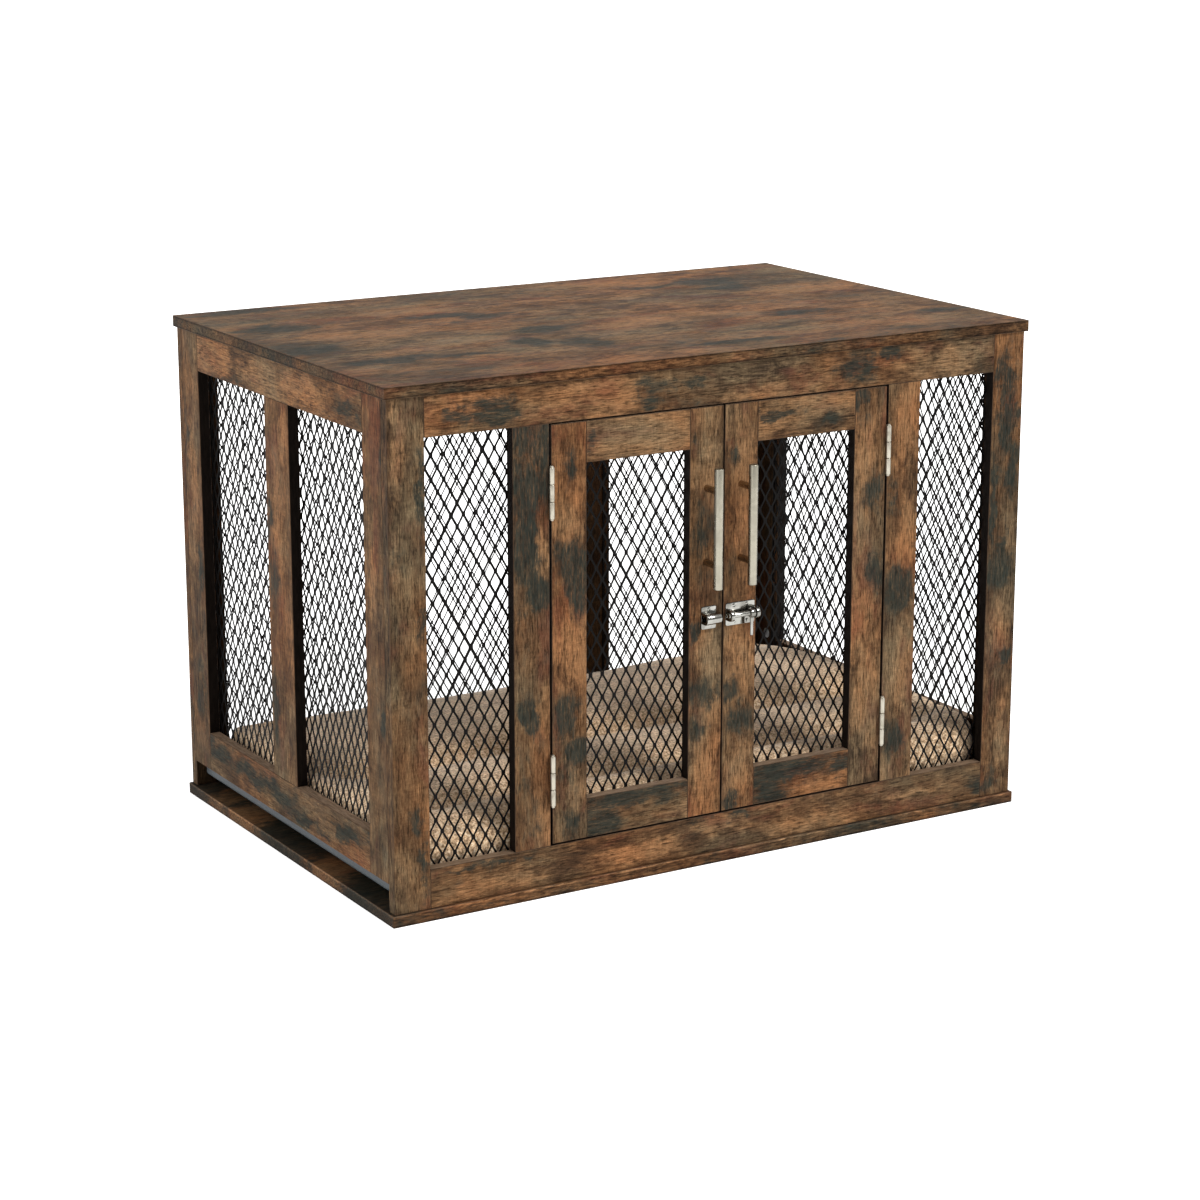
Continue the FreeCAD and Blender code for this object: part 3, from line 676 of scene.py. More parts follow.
@dataclass(frozen=True)
class CushionCloth(Finish):
    """Taupe woven cover of the cushion; threads are counted per metre."""

    name: str = "taupe_weave"
    threads: float = 420.0
    taupes: tuple = ((0.36, tone(124, 95, 68)), (0.47, tone(200, 164, 126)),
                     (0.55, tone(238, 204, 164)), (0.64, tone(253, 236, 208)))
    fleck: Noise = Noise((300, 300, 300), 4, 0.75)
    slub: Noise = Noise((60, 500, 200), 3, 0.6)
    nap: Noise = Noise((38, 38, 38), 5, 0.65)
    nap_level: Span = (0.3, 0.7, 0.78, 1.14)
    slub_level: Span = (0.35, 0.65, 0.90, 1.08)

    def paint(self, graph: Graph, place: Value, normal: Value) -> dict[str, Value]:
        """Paint a plain weave of flecked threads with a short nap."""
        split = graph.parts(place)
        warp, weft = (graph.math("SINE", graph.math("MULTIPLY", split[axis], math.pi * self.threads))
                      for axis in (0, 1))
        fleck = graph.noise(place, self.fleck)
        colour = graph.ramp(fleck, self.taupes)
        for noise, level in ((self.nap, self.nap_level), (self.slub, self.slub_level)):
            colour = graph.shade(colour, graph.span(graph.noise(place, noise), *level))
        height = graph.total((graph.math("MULTIPLY", warp, weft), 0.25), (fleck, 1.2))
        return {"Base Color": colour, "Normal": graph.bump(height, 0.5 * MM, 0.7), "Roughness": 0.9,
                "Specular IOR Level": 0.2, "Sheen Weight": 0.25, "Sheen Roughness": 0.6}


NICKEL = BareMetal("brushed_nickel", tone(154, 149, 135), tone(148, 143, 129), (1400, 1400, 45),
                   0.24, 0.42)
POST_NICKEL = BareMetal("polished_nickel", tone(170, 158, 142), tone(140, 128, 112), (200, 200, 200),
                        0.08, 0.22)
CHROME = BareMetal("bolt_chrome", tone(158, 157, 151), tone(122, 120, 114), (160, 160, 160), 0.05, 0.20)
HINGE_STEEL = BareMetal("satin_steel", tone(176, 170, 156), tone(150, 144, 130), (900, 900, 60),
                        0.30, 0.50)
FITTING_ZINC = SpangledSteel("fitting_zinc", tone(206, 206, 204), tone(168, 170, 172), 420.0)
GUIDE_ZINC = SpangledSteel("guide_zinc", tone(190, 194, 198), tone(146, 152, 158), 70.0)


Shape = bmesh.types.BMesh
FRONT = Vector((0, -1, 0))
REAR = Vector((0, 1, 0))
TOUCHING = 0.01 * MM
QUARTER = (0.0, 0.52, 1.05, math.pi / 2)


def points_of(geometry: list) -> list[bmesh.types.BMVert]:
    """Return the points among what an operator gives back."""
    return [item for item in geometry if isinstance(item, bmesh.types.BMVert)]


def whole(shape: Shape) -> list:
    """Return every point, edge and face of a shape."""
    return shape.verts[:] + shape.edges[:] + shape.faces[:]


def shift(shape: Shape, way: Vector | tuple[float, float, float]) -> Shape:
    """Return a shape after moving it along a way."""
    bmesh.ops.translate(shape, vec=way, verts=shape.verts)
    return shape


def put(shape: Shape, place: Matrix) -> Shape:
    """Return a shape after taking it to a place, its faces still outwards."""
    bmesh.ops.transform(shape, matrix=place, verts=shape.verts)
    if place.determinant() < 0:
        bmesh.ops.reverse_faces(shape, faces=shape.faces)
    return shape


def grow(shape: Shape, faces: list[bmesh.types.BMFace], way: tuple[float, float, float]) -> None:
    """Draw faces out along a way, with walls behind them."""
    grown = bmesh.ops.extrude_face_region(shape, geom=faces)["geom"]
    bmesh.ops.translate(shape, vec=way, verts=points_of(grown))


def ease_edges(shape: Shape, edges: list[bmesh.types.BMEdge], radius: float, segments: int = 2) -> None:
    """Round edges over."""
    bmesh.ops.bevel(shape, geom=edges, offset=radius, segments=segments, profile=0.5, affect="EDGES",
                    material=-1)


def face_out(shape: Shape) -> Shape:
    """Return a shape with its faces turned outwards."""
    bmesh.ops.recalc_face_normals(shape, faces=shape.faces)
    return shape


def shape_of(mesh: bpy.types.Mesh) -> Shape:
    """Return a mesh as a shape whose touching points are merged."""
    shape = bmesh.new()
    shape.from_mesh(mesh)
    bmesh.ops.remove_doubles(shape, verts=shape.verts, dist=TOUCHING)
    return shape


def pour(shape: Shape, mesh: bpy.types.Mesh) -> bpy.types.Mesh:
    """Return a mesh that takes over a shape, which is freed."""
    shape.to_mesh(mesh)
    shape.free()
    return mesh


def show(name: str, data: bpy.types.ID) -> bpy.types.Object:
    """Return a new object in the scene."""
    made = bpy.data.objects.new(name, data)
    bpy.context.scene.collection.objects.link(made)
    return made


def lathe(profile: list[tuple[float, float]], steps: int = 32) -> Shape:
    """Return a turned shape about Z.

    Args:
        profile: Radius and height of each point, from the lower pole to the upper one.
        steps: How many flats go round.

    Returns:
        A closed shell with its faces outwards.
    """
    shape = bmesh.new()
    points = [shape.verts.new((radius, 0.0, height)) for radius, height in profile]
    edges = [shape.edges.new(pair) for pair in zip(points, points[1:])]
    bmesh.ops.spin(shape, geom=points + edges, cent=(0, 0, 0), axis=(0, 0, 1), angle=2 * math.pi,
                   steps=steps, use_merge=True)
    bmesh.ops.remove_doubles(shape, verts=shape.verts, dist=TOUCHING / 10)
    return face_out(shape)


def rounded_bar(radius: float, low: float, high: float, ease: float, steps: int = 32) -> Shape:
    """Return a round bar along Z with both rims rounded over."""
    arc = [(radius - ease + math.sin(angle) * ease, (1 - math.cos(angle)) * ease) for angle in QUARTER]
    lower = [(reach, low + rise) for reach, rise in arc]
    upper = [(reach, high - rise) for reach, rise in reversed(arc)]
    return lathe([(0.0, low), *lower, *upper, (0.0, high)], steps)


def slab(low: Vector, high: Vector, ease: float = 0.0) -> Shape:
    """Return a block between two corners, with all its edges rounded if ease is given."""
    shape = bmesh.new()
    bmesh.ops.create_cube(shape, size=1.0)
    bmesh.ops.scale(shape, vec=high - low, verts=shape.verts)
    shift(shape, (low + high) / 2)
    if ease:
        ease_edges(shape, shape.edges[:], ease)
    return shape


def plate(wide: float, high: float, thick: float, corner: float, ease: float) -> Shape:
    """Return a plate that lies in XZ with its back on Y = 0 and its front towards -Y.

    Args:
        wide: Size along X.
        high: Size along Z.
        thick: Thickness along Y.
        corner: Radius of its four corners.
        ease: Rounding of its front edge.

    Returns:
        The plate, centred on X and Z.
    """
    shape = slab(Vector((-wide / 2, -thick, -high / 2)), Vector((wide / 2, 0, high / 2)))
    corners = [edge for edge in shape.edges if abs(edge.verts[0].co.y - edge.verts[1].co.y) > thick / 2]
    ease_edges(shape, corners, corner, 5)
    rim = [edge for edge in shape.edges if all(vert.co.y < -thick * 0.99 for vert in edge.verts)]
    ease_edges(shape, rim, ease)
    return face_out(shape)


def arch(inner: float, outer: float, reach: float, length: float, ease: float) -> Shape:
    """Return a tunnel along X: a half round over the front, with two legs back to a plate.

    Args:
        inner: Radius of the bore.
        outer: Radius of the outside.
        reach: How far the legs run back from the bore's axis.
        length: Length of the tunnel.
        ease: Rounding of its sharp edges.

    Returns:
        The tunnel from X = 0 to its length, with the bore's axis on X.
    """
    shape = bmesh.new()
    start = [shape.verts.new((0, 0, inner)), shape.verts.new((0, 0, outer))]
    first = shape.edges.new(start)
    turned = bmesh.ops.spin(shape, geom=start + [first], cent=(0, 0, 0), axis=(1, 0, 0), angle=math.pi,
                            steps=20)
    last = next(item for item in turned["geom_last"] if isinstance(item, bmesh.types.BMEdge))
    for edge in (first, last):
        grown = bmesh.ops.extrude_edge_only(shape, edges=[edge])["geom"]
        bmesh.ops.translate(shape, vec=(0, reach, 0), verts=points_of(grown))
    grow(shape, shape.faces[:], (length, 0, 0))
    face_out(shape)
    sharp = [edge for edge in shape.edges
             if edge.is_manifold and edge.calc_face_angle() > math.radians(50)]
    ease_edges(shape, sharp, ease)
    return shape


def cross_head(radius: float, dome: float, depth: float, cells: int = 7) -> Shape:
    """Return the face of a cross-recessed screw in XY, its rim on Z = 0 and facing +Z.

    Args:
        radius: Radius of the head.
        dome: How far its middle stands above its rim.
        depth: How deep the cross is.
        cells: How many faces lie across the head; the cross is one of them wide.

    Returns:
        A round sheet of a few dozen faces.
    """
    shape = bmesh.new()
    bmesh.ops.create_grid(shape, x_segments=cells, y_segments=cells, size=1.0)
    cross = []
    for face in shape.faces:
        across, along = sorted(abs(level) for level in face.calc_center_median()[:2])
        if across < 1 / cells and along < (cells - 2) / cells:
            cross.append(face)
    for vert in shape.verts:
        x, y = vert.co.x, vert.co.y
        disc = Vector((x * math.sqrt(1 - y * y / 2), y * math.sqrt(1 - x * x / 2), 0))
        vert.co = Vector((disc.x * radius, disc.y * radius, dome * (1 - disc.length_squared)))
    grow(shape, cross, (0, 0, -depth))
    return shape


def facing(direction: Vector, point: Vector) -> Matrix:
    """Return the matrix that takes a shape facing +Z at the origin to a point, facing a direction."""
    return Matrix.Translation(point) @ direction.to_track_quat("Z", "Y").to_matrix().to_4x4()


class Piece:
    """A new piece that gathers the shapes it is made of."""

    def __init__(self, name: str) -> None:
        """Start an empty piece."""
        self.name = name
        self.shapes = bmesh.new()

    def add(self, place: Matrix, *shapes: Shape) -> None:
        """Take in shapes at a place, and free them."""
        for shape in shapes:
            step = bpy.data.meshes.new("step")
            self.shapes.from_mesh(pour(put(shape, place), step))
            bpy.data.meshes.remove(step)

    def finish(self, finish: Finish, body: Body, slot: Slot, *replaced: str, smooth: float = 40.0) -> None:
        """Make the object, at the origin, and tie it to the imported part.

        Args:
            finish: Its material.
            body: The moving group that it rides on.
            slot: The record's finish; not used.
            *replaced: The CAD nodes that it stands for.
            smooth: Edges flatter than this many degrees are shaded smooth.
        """
        for face in self.shapes.faces:
            face.smooth = True
        mesh = pour(self.shapes, bpy.data.meshes.new(self.name))
        mesh.set_sharp_from_angle(angle=math.radians(smooth))
        mesh.materials.append(finish.material())
        attach(show(self.name, mesh), body, slot, *replaced)


def attach(piece: bpy.types.Object, body: Body, slot: Slot, *replaced: str) -> None:
    """Let a finished object ride on a body and stand for CAD nodes."""
    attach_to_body(piece, body.value)
    if replaced:
        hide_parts(*replaced)
    log.info("%s rides on %s with %d faces", piece.name, body.value, len(piece.data.polygons))


def dress(node: str, finish: Finish) -> None:
    """Give a CAD node that stays shown its material."""
    piece = NODES[node]
    piece.data.materials.clear()
    piece.data.materials.append(finish.material())
    log.info("%s keeps its CAD form in %s", node, finish.name)


MARKS: dict[str, Marks] = {
    "top_panel": Marks(
        dark=((-415, 133, 48, 26), (-440, -42, 36, 32), (-170, 118, 46, 12), (-120, 90, 34, 18),
              (-118, -42, 30, 18), (-170, -122, 24, 26), (-110, -157, 30, 38), (-380, -147, 55, 14),
              (-280, -160, 40, 13), (300, 198, 50, 30), (290, 140, 26, 16), (250, -97, 44, 12),
              (180, 190, 40, 10), (430, -180, 34, 18), (60, -250, 60, 10), (-350, 290, 70, 12)),
        light=((120, -227, 90, 24), (-200, 173, 60, 22), (-330, 48, 70, 22), (150, 260, 70, 22),
               (400, 80, 60, 30), (-260, -70, 60, 22), (330, -225, 70, 20), (10, -60, 60, 20)),
        stain=-0.03, glow=0.07),
    # Darker and lighter patches along the base's left end, where the slot shows its inside face.
    "base_panel": Marks(
        dark=((-455, 10, 60, 62), (-455, -232, 60, 62), (-455, 290, 60, 30)),
        light=((-455, 160, 60, 66), (-455, -108, 60, 38)), stain=0.02, glow=0.10),
    "front_top_rail": Marks(
        dark=((-322, 630, 24, 14), (-388, 627, 20, 10), (-105, 632, 32, 20), (-48, 646, 26, 10),
              (205, 636, 32, 24), (262, 650, 18, 8)),
        light=((-360, 640, 40, 14), (-175, 640, 56, 17), (60, 615, 56, 7), (370, 634, 50, 12)),
        stain=-0.10, glow=0.02),
    "front_bottom_rail": Marks(
        dark=((-40, 60, 26, 5), (30, 58, 24, 5), (420, 36, 26, 14), (-330, 58, 60, 5)),
        light=((-120, 36, 70, 11), (-10, 52, 34, 9), (140, 30, 60, 10), (-330, 30, 60, 9), (300, 40, 40, 9)),
        stain=-0.15, glow=-0.05),
    "front_left_post": Marks(
        dark=((380, -434, 22, 9), (135, -443, 24, 11), (560, -433, 40, 7), (70, -432, 40, 6)),
        light=((600, -465, 60, 7), (470, -466, 40, 6)), stain=-0.09, glow=-0.06),
    "front_right_post": Marks(
        dark=((530, 455, 32, 13), (480, 464, 34, 10), (345, 446, 32, 20), (207, 461, 16, 12),
              (600, 446, 30, 12), (420, 432, 60, 6), (40, 440, 24, 12)),
        light=((260, 455, 40, 12), (120, 455, 40, 10)), stain=-0.06, glow=-0.02),
    "front_left_mullion": Marks(
        dark=((590, -278, 60, 34), (545, -280, 50, 34), (470, -287, 44, 18), (395, -272, 18, 12),
              (240, -284, 22, 12)),
        light=((90, -268, 30, 16), (440, -264, 30, 8)), stain=0.0, glow=-0.06),
    "front_right_mullion": Marks(
        dark=((330, 276, 32, 24), (122, 275, 26, 22), (445, 264, 40, 10)),
        light=((210, 290, 50, 14), (560, 285, 60, 14), (420, 292, 40, 10)), stain=-0.07, glow=0.02),
    "left_door_outer_stile": Marks(
        dark=((436, -240, 26, 14), (412, -217, 42, 15), (235, -240, 32, 18), (187, -214, 15, 18),
              (86, -224, 22, 14), (548, -222, 24, 10)),
        light=((330, -219, 48, 18), (500, -214, 30, 12), (140, -216, 24, 12)), stain=-0.08, glow=0.0),
    "left_door_inner_stile": Marks(
        dark=((450, -30, 48, 18), (308, -43, 16, 8), (235, -28, 20, 26), (188, -40, 13, 14),
              (560, -40, 20, 8)),
        light=((282, -18, 30, 16), (213, -14, 18, 14), (130, -24, 40, 14), (540, -16, 30, 12)),
        stain=-0.10, glow=0.02),
    "left_door_top_rail": Marks(
        dark=((-192, 577, 10, 14),), light=((-120, 580, 70, 22), (-90, 566, 50, 10)), stain=-0.14, glow=0.06),
    "left_door_bottom_rail": Marks(
        dark=((-130, 110, 80, 13), (-182, 82, 26, 16)), light=((-62, 84, 30, 10),), stain=-0.05, glow=-0.05),
    "right_door_inner_stile": Marks(
        dark=((545, 16, 26, 7), (188, 32, 18, 20), (230, 14, 18, 12), (80, 16, 16, 10)),
        light=((500, 36, 70, 16), (290, 30, 40, 16), (120, 30, 40, 14)), stain=-0.12, glow=0.05),
    "right_door_outer_stile": Marks(
        dark=((470, 234, 30, 18), (355, 236, 26, 18), (585, 214, 20, 10)),
        light=((520, 215, 40, 12), (300, 215, 40, 14), (200, 230, 60, 16), (410, 212, 30, 10)),
        stain=-0.10, glow=0.03),
    "right_door_top_rail": Marks(
        dark=((162, 565, 24, 9), (90, 585, 40, 6)), light=((60, 575, 30, 14), (160, 590, 50, 10)),
        stain=-0.10, glow=0.05),
    "right_door_bottom_rail": Marks(
        dark=((115, 107, 60, 14), (74, 80, 22, 13), (186, 104, 24, 12)), light=((158, 78, 30, 9),),
        stain=-0.06, glow=-0.02),
    "left_top_rail": Marks(
        dark=((-192, 630, 40, 17), (-240, 622, 20, 12), (120, 616, 40, 7)),
        light=((38, 632, 46, 14), (-72, 632, 50, 13), (200, 634, 60, 15)), stain=-0.12, glow=0.06),
    "left_bottom_rail": Marks(
        dark=((88, 80, 90, 12), (-172, 82, 34, 10), (210, 84, 36, 12), (-60, 64, 50, 7)),
        stain=-0.03, glow=-0.06),
    "left_front_stile": Marks(
        dark=((255, -290, 14, 9), (560, -296, 60, 6)), light=((430, -266, 60, 7),), stain=-0.10, glow=-0.06),
    "left_middle_stile": Marks(
        dark=((365, 18, 38, 16), (440, 28, 40, 8), (190, 20, 50, 10)),
        light=((490, 4, 60, 10), (560, -20, 30, 8)), stain=-0.09, glow=-0.01),
    "left_rear_stile": Marks(
        dark=((155, 264, 40, 15), (530, 286, 40, 8), (330, 256, 40, 8)), light=((470, 268, 50, 10),),
        stain=-0.08, glow=-0.03),
}


@dataclass
class Boards:
    """Every board of the crate, each cut from another place of the print."""

    # Painted highlight along the panels' eased arrises.
    panel_eased: Colour = tone(88, 70, 55)
    # Painted shade along the lower arris of both panels' edges.
    panel_under: float = 0.4
    door_sill_end: float = 255 * MM
    step: tuple[float, float, float] = (0.731, 0.417, 0.293)
    uprights: tuple[str, ...] = ("left_post", "right_post", "left_mullion", "right_mullion")
    side_stiles: tuple[str, ...] = ("front_stile", "middle_stile", "rear_stile")
    door_stiles: tuple[str, ...] = ("outer_stile", "inner_stile")
    rails: tuple[str, ...] = ("top_rail", "bottom_rail")
    cut: int = 0

    def lay(self, node: str, grain: Axis, face: Axis, outward: int, **look: object) -> None:
        """Dress one board with its own stretch of the print.

        Args:
            node: The board's CAD node.
            grain: The way its grain runs.
            face: The axis that its broad faces lie across.
            outward: Sign of that axis on the face that looks out of the crate.
            **look: What sets this board apart from the rest.
        """
        self.cut += 1
        place = tuple(self.cut * size for size in self.step)
        marks = MARKS.get(node, Marks())
        dress(node, BoardFinish(f"wood_{node}", grain, face, outward, place, marks, **look))

    def dress_panels(self) -> None:
        """Dress the top and the base."""
        # The inner share is painted shade on each panel's inside face; over is painted shade along the top's
        # upper arris and a painted highlight along the base's.
        for node, outward, over, inner in (("top_panel", 1, 0.34, 0.38), ("base_panel", -1, 1.9, 0.66)):
            low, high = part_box(node)
            rim = Rim(low.z, high.z, self.panel_under, over)
            self.lay(node, Axis.X, Axis.Z, outward, rim=rim, inner=inner, eased=self.panel_eased)

    def dress_frames(self) -> None:
        """Dress the front, rear and side frames."""
        for prefix, outward, sill_from in (("front", -1, self.door_sill_end), ("rear", 1, 0.0)):
            for member in self.uprights:
                self.lay(f"{prefix}_{member}", Axis.Z, Axis.Y, outward)
            self.lay(f"{prefix}_top_rail", Axis.X, Axis.Y, outward)
            self.lay(f"{prefix}_bottom_rail", Axis.X, Axis.Y, outward, sill_from=sill_from)
        for side in Side:
            for member in self.side_stiles:
                self.lay(f"{side.word}_{member}", Axis.Z, Axis.X, side.value)
            for member in self.rails:
                self.lay(f"{side.word}_{member}", Axis.Y, Axis.X, side.value)

    def dress_doors(self) -> None:
        """Dress the members of both doors."""
        for side in Side:
            for members, grain in ((self.door_stiles, Axis.Z), (self.rails, Axis.X)):
                for member in members:
                    self.lay(f"{side.word}_door_{member}", grain, Axis.Y, -1)

    def build(self) -> None:
        """Dress all the boards."""
        self.dress_panels()
        self.dress_frames()
        self.dress_doors()


@dataclass(frozen=True)
class Net:
    """Expanded metal at its true pitch; its long diamonds stand upright."""

    wide: float = 17.4 * MM
    high: float = 30.6 * MM
    strand: float = 2.6 * MM
    bond: float = 4.2 * MM
    tilt: float = 0.28 * MM
    thick: float = 0.6 * MM
    sheet_thick: float = 1.2 * MM
    rim: float = 3.0 * MM
    rim_ease: float = 0.2 * MM

    def cell(self) -> Shape:
        """Return one diamond's share of the sheet, with its strands tilted as the press leaves them."""
        half_wide = self.wide / 2
        half_high = self.high / 2
        share = self.strand / 2 * math.hypot(half_wide, half_high) / (half_wide * half_high)
        gap_high = half_high * (1 - share)
        flat = self.bond / 2
        gap_side = half_wide * (1 - share) * (1 - flat / gap_high)
        pitch_side = half_wide * (1 - flat / half_high)
        shape = bmesh.new()
        loops = []
        for corner, tip, shoulder, lift in ((half_wide, half_high, pitch_side, 0.0),
                                            (gap_side, gap_high, gap_side, self.tilt)):
            points = [(corner, 0, lift), (shoulder, flat, lift), (0, tip, 0), (-shoulder, flat, -lift),
                      (-corner, 0, -lift), (-shoulder, -flat, -lift), (0, -tip, 0), (shoulder, -flat, lift)]
            ring = [shape.verts.new(point) for point in points]
            loops += [shape.edges.new(pair) for pair in zip(ring, ring[1:] + ring[:1])]
        bmesh.ops.bridge_loops(shape, edges=loops)
        return shape

    def repeat(self, shape: Shape, count: int, step: Vector) -> None:
        """Repeat all that a shape holds, count times in all, a step apart."""
        first = whole(shape)
        for index in range(1, count):
            copy = bmesh.ops.duplicate(shape, geom=first)["geom"]
            bmesh.ops.translate(shape, vec=step * index, verts=points_of(copy))

    def sheet(self, wide: float, high: float) -> Shape:
        """Return a trimmed sheet in XY, centred, without its rim.

        Args:
            wide: Size along X.
            high: Size along Y.

        Returns:
            The sheet, cut off half-way under the rim.
        """
        shape = self.cell()
        columns = math.ceil(wide / 2 / self.wide) + 1
        rows = math.ceil(high / 2 / self.high) + 1
        self.repeat(shape, 2, Vector((self.wide / 2, self.high / 2, 0)))
        self.repeat(shape, 2 * columns, Vector((self.wide, 0, 0)))
        self.repeat(shape, 2 * rows, Vector((0, self.high, 0)))
        shift(shape, (-columns * self.wide, -rows * self.high, 0))
        bmesh.ops.remove_doubles(shape, verts=shape.verts, dist=TOUCHING)
        for axis, size in ((Axis.X, wide), (Axis.Y, high)):
            for way in (-axis.vector, axis.vector):
                bmesh.ops.bisect_plane(shape, geom=whole(shape), plane_co=way * (size - self.rim) / 2,
                                       plane_no=way, clear_outer=True)
        face_out(shape)
        shift(shape, (0, 0, -self.thick / 2))
        grow(shape, shape.faces[:], (0, 0, self.thick))
        return face_out(shape)

    def rim_bars(self, wide: float, high: float) -> list[Shape]:
        """Return the four flat strips round a sheet."""
        half = Vector((wide / 2, high / 2, self.sheet_thick / 2))
        bars = []
        for sign in (-1, 1):
            low, top = sorted((sign * (half.y - self.rim), sign * half.y))
            left, right = sorted((sign * (half.x - self.rim), sign * half.x))
            inner = half.y - self.rim
            for first, last in (((-half.x, low), (half.x, top)), ((left, -inner), (right, inner))):
                bars.append(slab(Vector((*first, -half.z)), Vector((*last, half.z)), self.rim_ease))
        return bars


@dataclass
class Nets:
    """The nets of all the windows, each in the place of its CAD sheet."""

    net: Net = Net()
    far_net: Net = Net(strand=1.7 * MM, bond=3.0 * MM)
    smooth: float = 20.0

    def sheet_boxes(self, node: str) -> list[tuple[Vector, Vector]]:
        """Return the corners of each separate sheet in a CAD node, from low X and Y upwards."""
        shape = shape_of(NODES[node].data)
        left = set(shape.verts)
        boxes = []
        while left:
            grown = [left.pop()]
            island = []
            while grown:
                vert = grown.pop()
                island.append(vert.co.copy())
                near = {edge.other_vert(vert) for edge in vert.link_edges} & left
                left -= near
                grown += near
            boxes.append(tuple(Vector([end(level) for level in zip(*island)]) for end in (min, max)))
        shape.free()
        return sorted(boxes, key=lambda box: (round(box[0].x, 4), round(box[0].y, 4)))

    def hang(self, node: str, body: Body, net: Net) -> None:
        """Replace one CAD node with nets of the true pitch."""
        piece = Piece(f"{node.replace('_mesh', '')}_net")
        for low, high in self.sheet_boxes(node):
            size = high - low
            turn = Matrix.Rotation(math.pi / 2, 4, "X")
            if size.x < size.y:
                turn = Matrix.Rotation(math.pi / 2, 4, "Z") @ turn
            wide = max(size.x, size.y)
            place = Matrix.Translation((low + high) / 2) @ turn
            piece.add(place, net.sheet(wide, size.z), *net.rim_bars(wide, size.z))
        piece.finish(PowderCoat(), body, Slot.MESH, node, smooth=self.smooth)

    def build(self) -> None:
        """Hang all the nets."""
        for side in Side:
            self.hang(f"front_{side.word}_mesh", Body.FRAME, self.net)
            self.hang(f"{side.word}_door_mesh", side.door, self.net)
        for node, net in (("left_mesh", self.net), ("right_mesh", self.far_net), ("rear_mesh", self.far_net)):
            self.hang(node, Body.FRAME, net)


@dataclass
class Hinges:
    """The four butt hinges in the gaps beside the doors.

    The pin's end is given as points of its outline, in shares of the knuckle's radius and of its height.
    """

    line_x: float = 253.5 * MM
    line_y: float = -311.5 * MM
    heights: tuple[float, float] = (152 * MM, 521 * MM)
    length: float = 65 * MM
    radius: float = 3.5 * MM
    notch: float = 0.5 * MM
    ease: float = 0.9 * MM
    tip: float = 2.5 * MM
    tip_outline: tuple = ((0.0, 0.0), (0.62, 0.0), (0.66, 0.3), (0.60, 0.7), (0.36, 0.95), (0.0, 1.0))
    leaf_thick: float = 1.2 * MM
    leaf_depth: float = 13 * MM
    leaf_front: float = -307.7 * MM
    leaf_ease: float = 0.2 * MM
    door_edge: float = 252 * MM
    frame_edge: float = 255 * MM
    screw_spacing: float = 40 * MM
    screw_radius: float = 2.9 * MM
    screw_dome: float = 0.12 * MM
    screw_recess: float = 0.5 * MM

    def barrel(self, low: float, high: float) -> Shape:
        """Return one knuckle about the hinge line."""
        return shift(rounded_bar(self.radius, low, high, self.ease), (self.line_x, self.line_y, 0))

    def cap(self, foot: float, sign: int) -> Shape:
        """Return the rounded end of the pin, above or below the knuckles."""
        profile = [(self.radius * reach, self.tip * rise) for reach, rise in self.tip_outline]
        place = Matrix.Translation((self.line_x, self.line_y, foot)) @ Matrix.Diagonal((1, 1, sign, 1))
        return put(lathe(profile, 24), place)

    def leaf(self, low_x: float, centre: float, barrels: list[tuple[float, float]]) -> list[Shape]:
        """Return a leaf's plate and the tabs that run from it to its knuckles."""
        high_x = low_x + self.leaf_thick
        half = self.length / 2
        rear = self.leaf_front + self.leaf_depth
        shapes = [slab(Vector((low_x, self.leaf_front, centre - half)), Vector((high_x, rear, centre + half)),
                       self.leaf_ease)]
        for low, high in barrels:
            shapes.append(slab(Vector((low_x, self.line_y, low + self.ease)),
                               Vector((high_x, self.leaf_front + self.ease, high - self.ease))))
        return shapes

    def screws(self, face_x: float, outward: float, centre: float) -> list[Shape]:
        """Return the two screw faces of a leaf."""
        shapes = []
        for step in (-0.5, 0.5):
            point = Vector((face_x, self.leaf_front + self.leaf_depth / 2,
                            centre + step * self.screw_spacing))
            head = cross_head(self.screw_radius, self.screw_dome, self.screw_recess)
            shapes.append(put(head, facing(Axis.X.vector * outward, point)))
        return shapes

    def build(self) -> None:
        """Build the frame's halves and each door's halves."""
        frame_half = Piece("frame_hinge_halves")
        frame_screws = Piece("frame_hinge_screw_faces")
        frame_face = self.frame_edge - self.leaf_thick
        door_face = self.door_edge + self.leaf_thick
        outer = self.length / 3 - self.notch / 2
        inner = self.length / 3 + self.notch / 2
        for side in Side:
            door_half = Piece(f"{side.word}_door_hinge_halves")
            door_screws = Piece(f"{side.word}_door_hinge_screw_faces")
            for centre in self.heights:
                low = centre - self.length / 2
                high = centre + self.length / 2
                middle = (low + inner, high - inner)
                ends = [(low, low + outer), (high - outer, high)]
                door_half.add(side.mirror, self.barrel(*middle), *self.leaf(self.door_edge, centre, [middle]))
                frame_half.add(side.mirror, *(self.barrel(*end) for end in ends),
                               *self.leaf(frame_face, centre, ends), self.cap(high, 1), self.cap(low, -1))
                door_screws.add(side.mirror, *self.screws(door_face, 1, centre))
                frame_screws.add(side.mirror, *self.screws(frame_face, -1, centre))
            door_half.finish(HINGE_STEEL, side.door, Slot.HINGE, f"{side.word}_door_hinge_leaves")
            door_screws.finish(HINGE_STEEL, side.door, Slot.HINGE, f"{side.word}_door_hinge_screws")
        frame_half.finish(HINGE_STEEL, Body.FRAME, Slot.HINGE, "frame_hinge_leaves", "hinge_pins")
        frame_screws.finish(HINGE_STEEL, Body.FRAME, Slot.HINGE, "frame_hinge_screws")


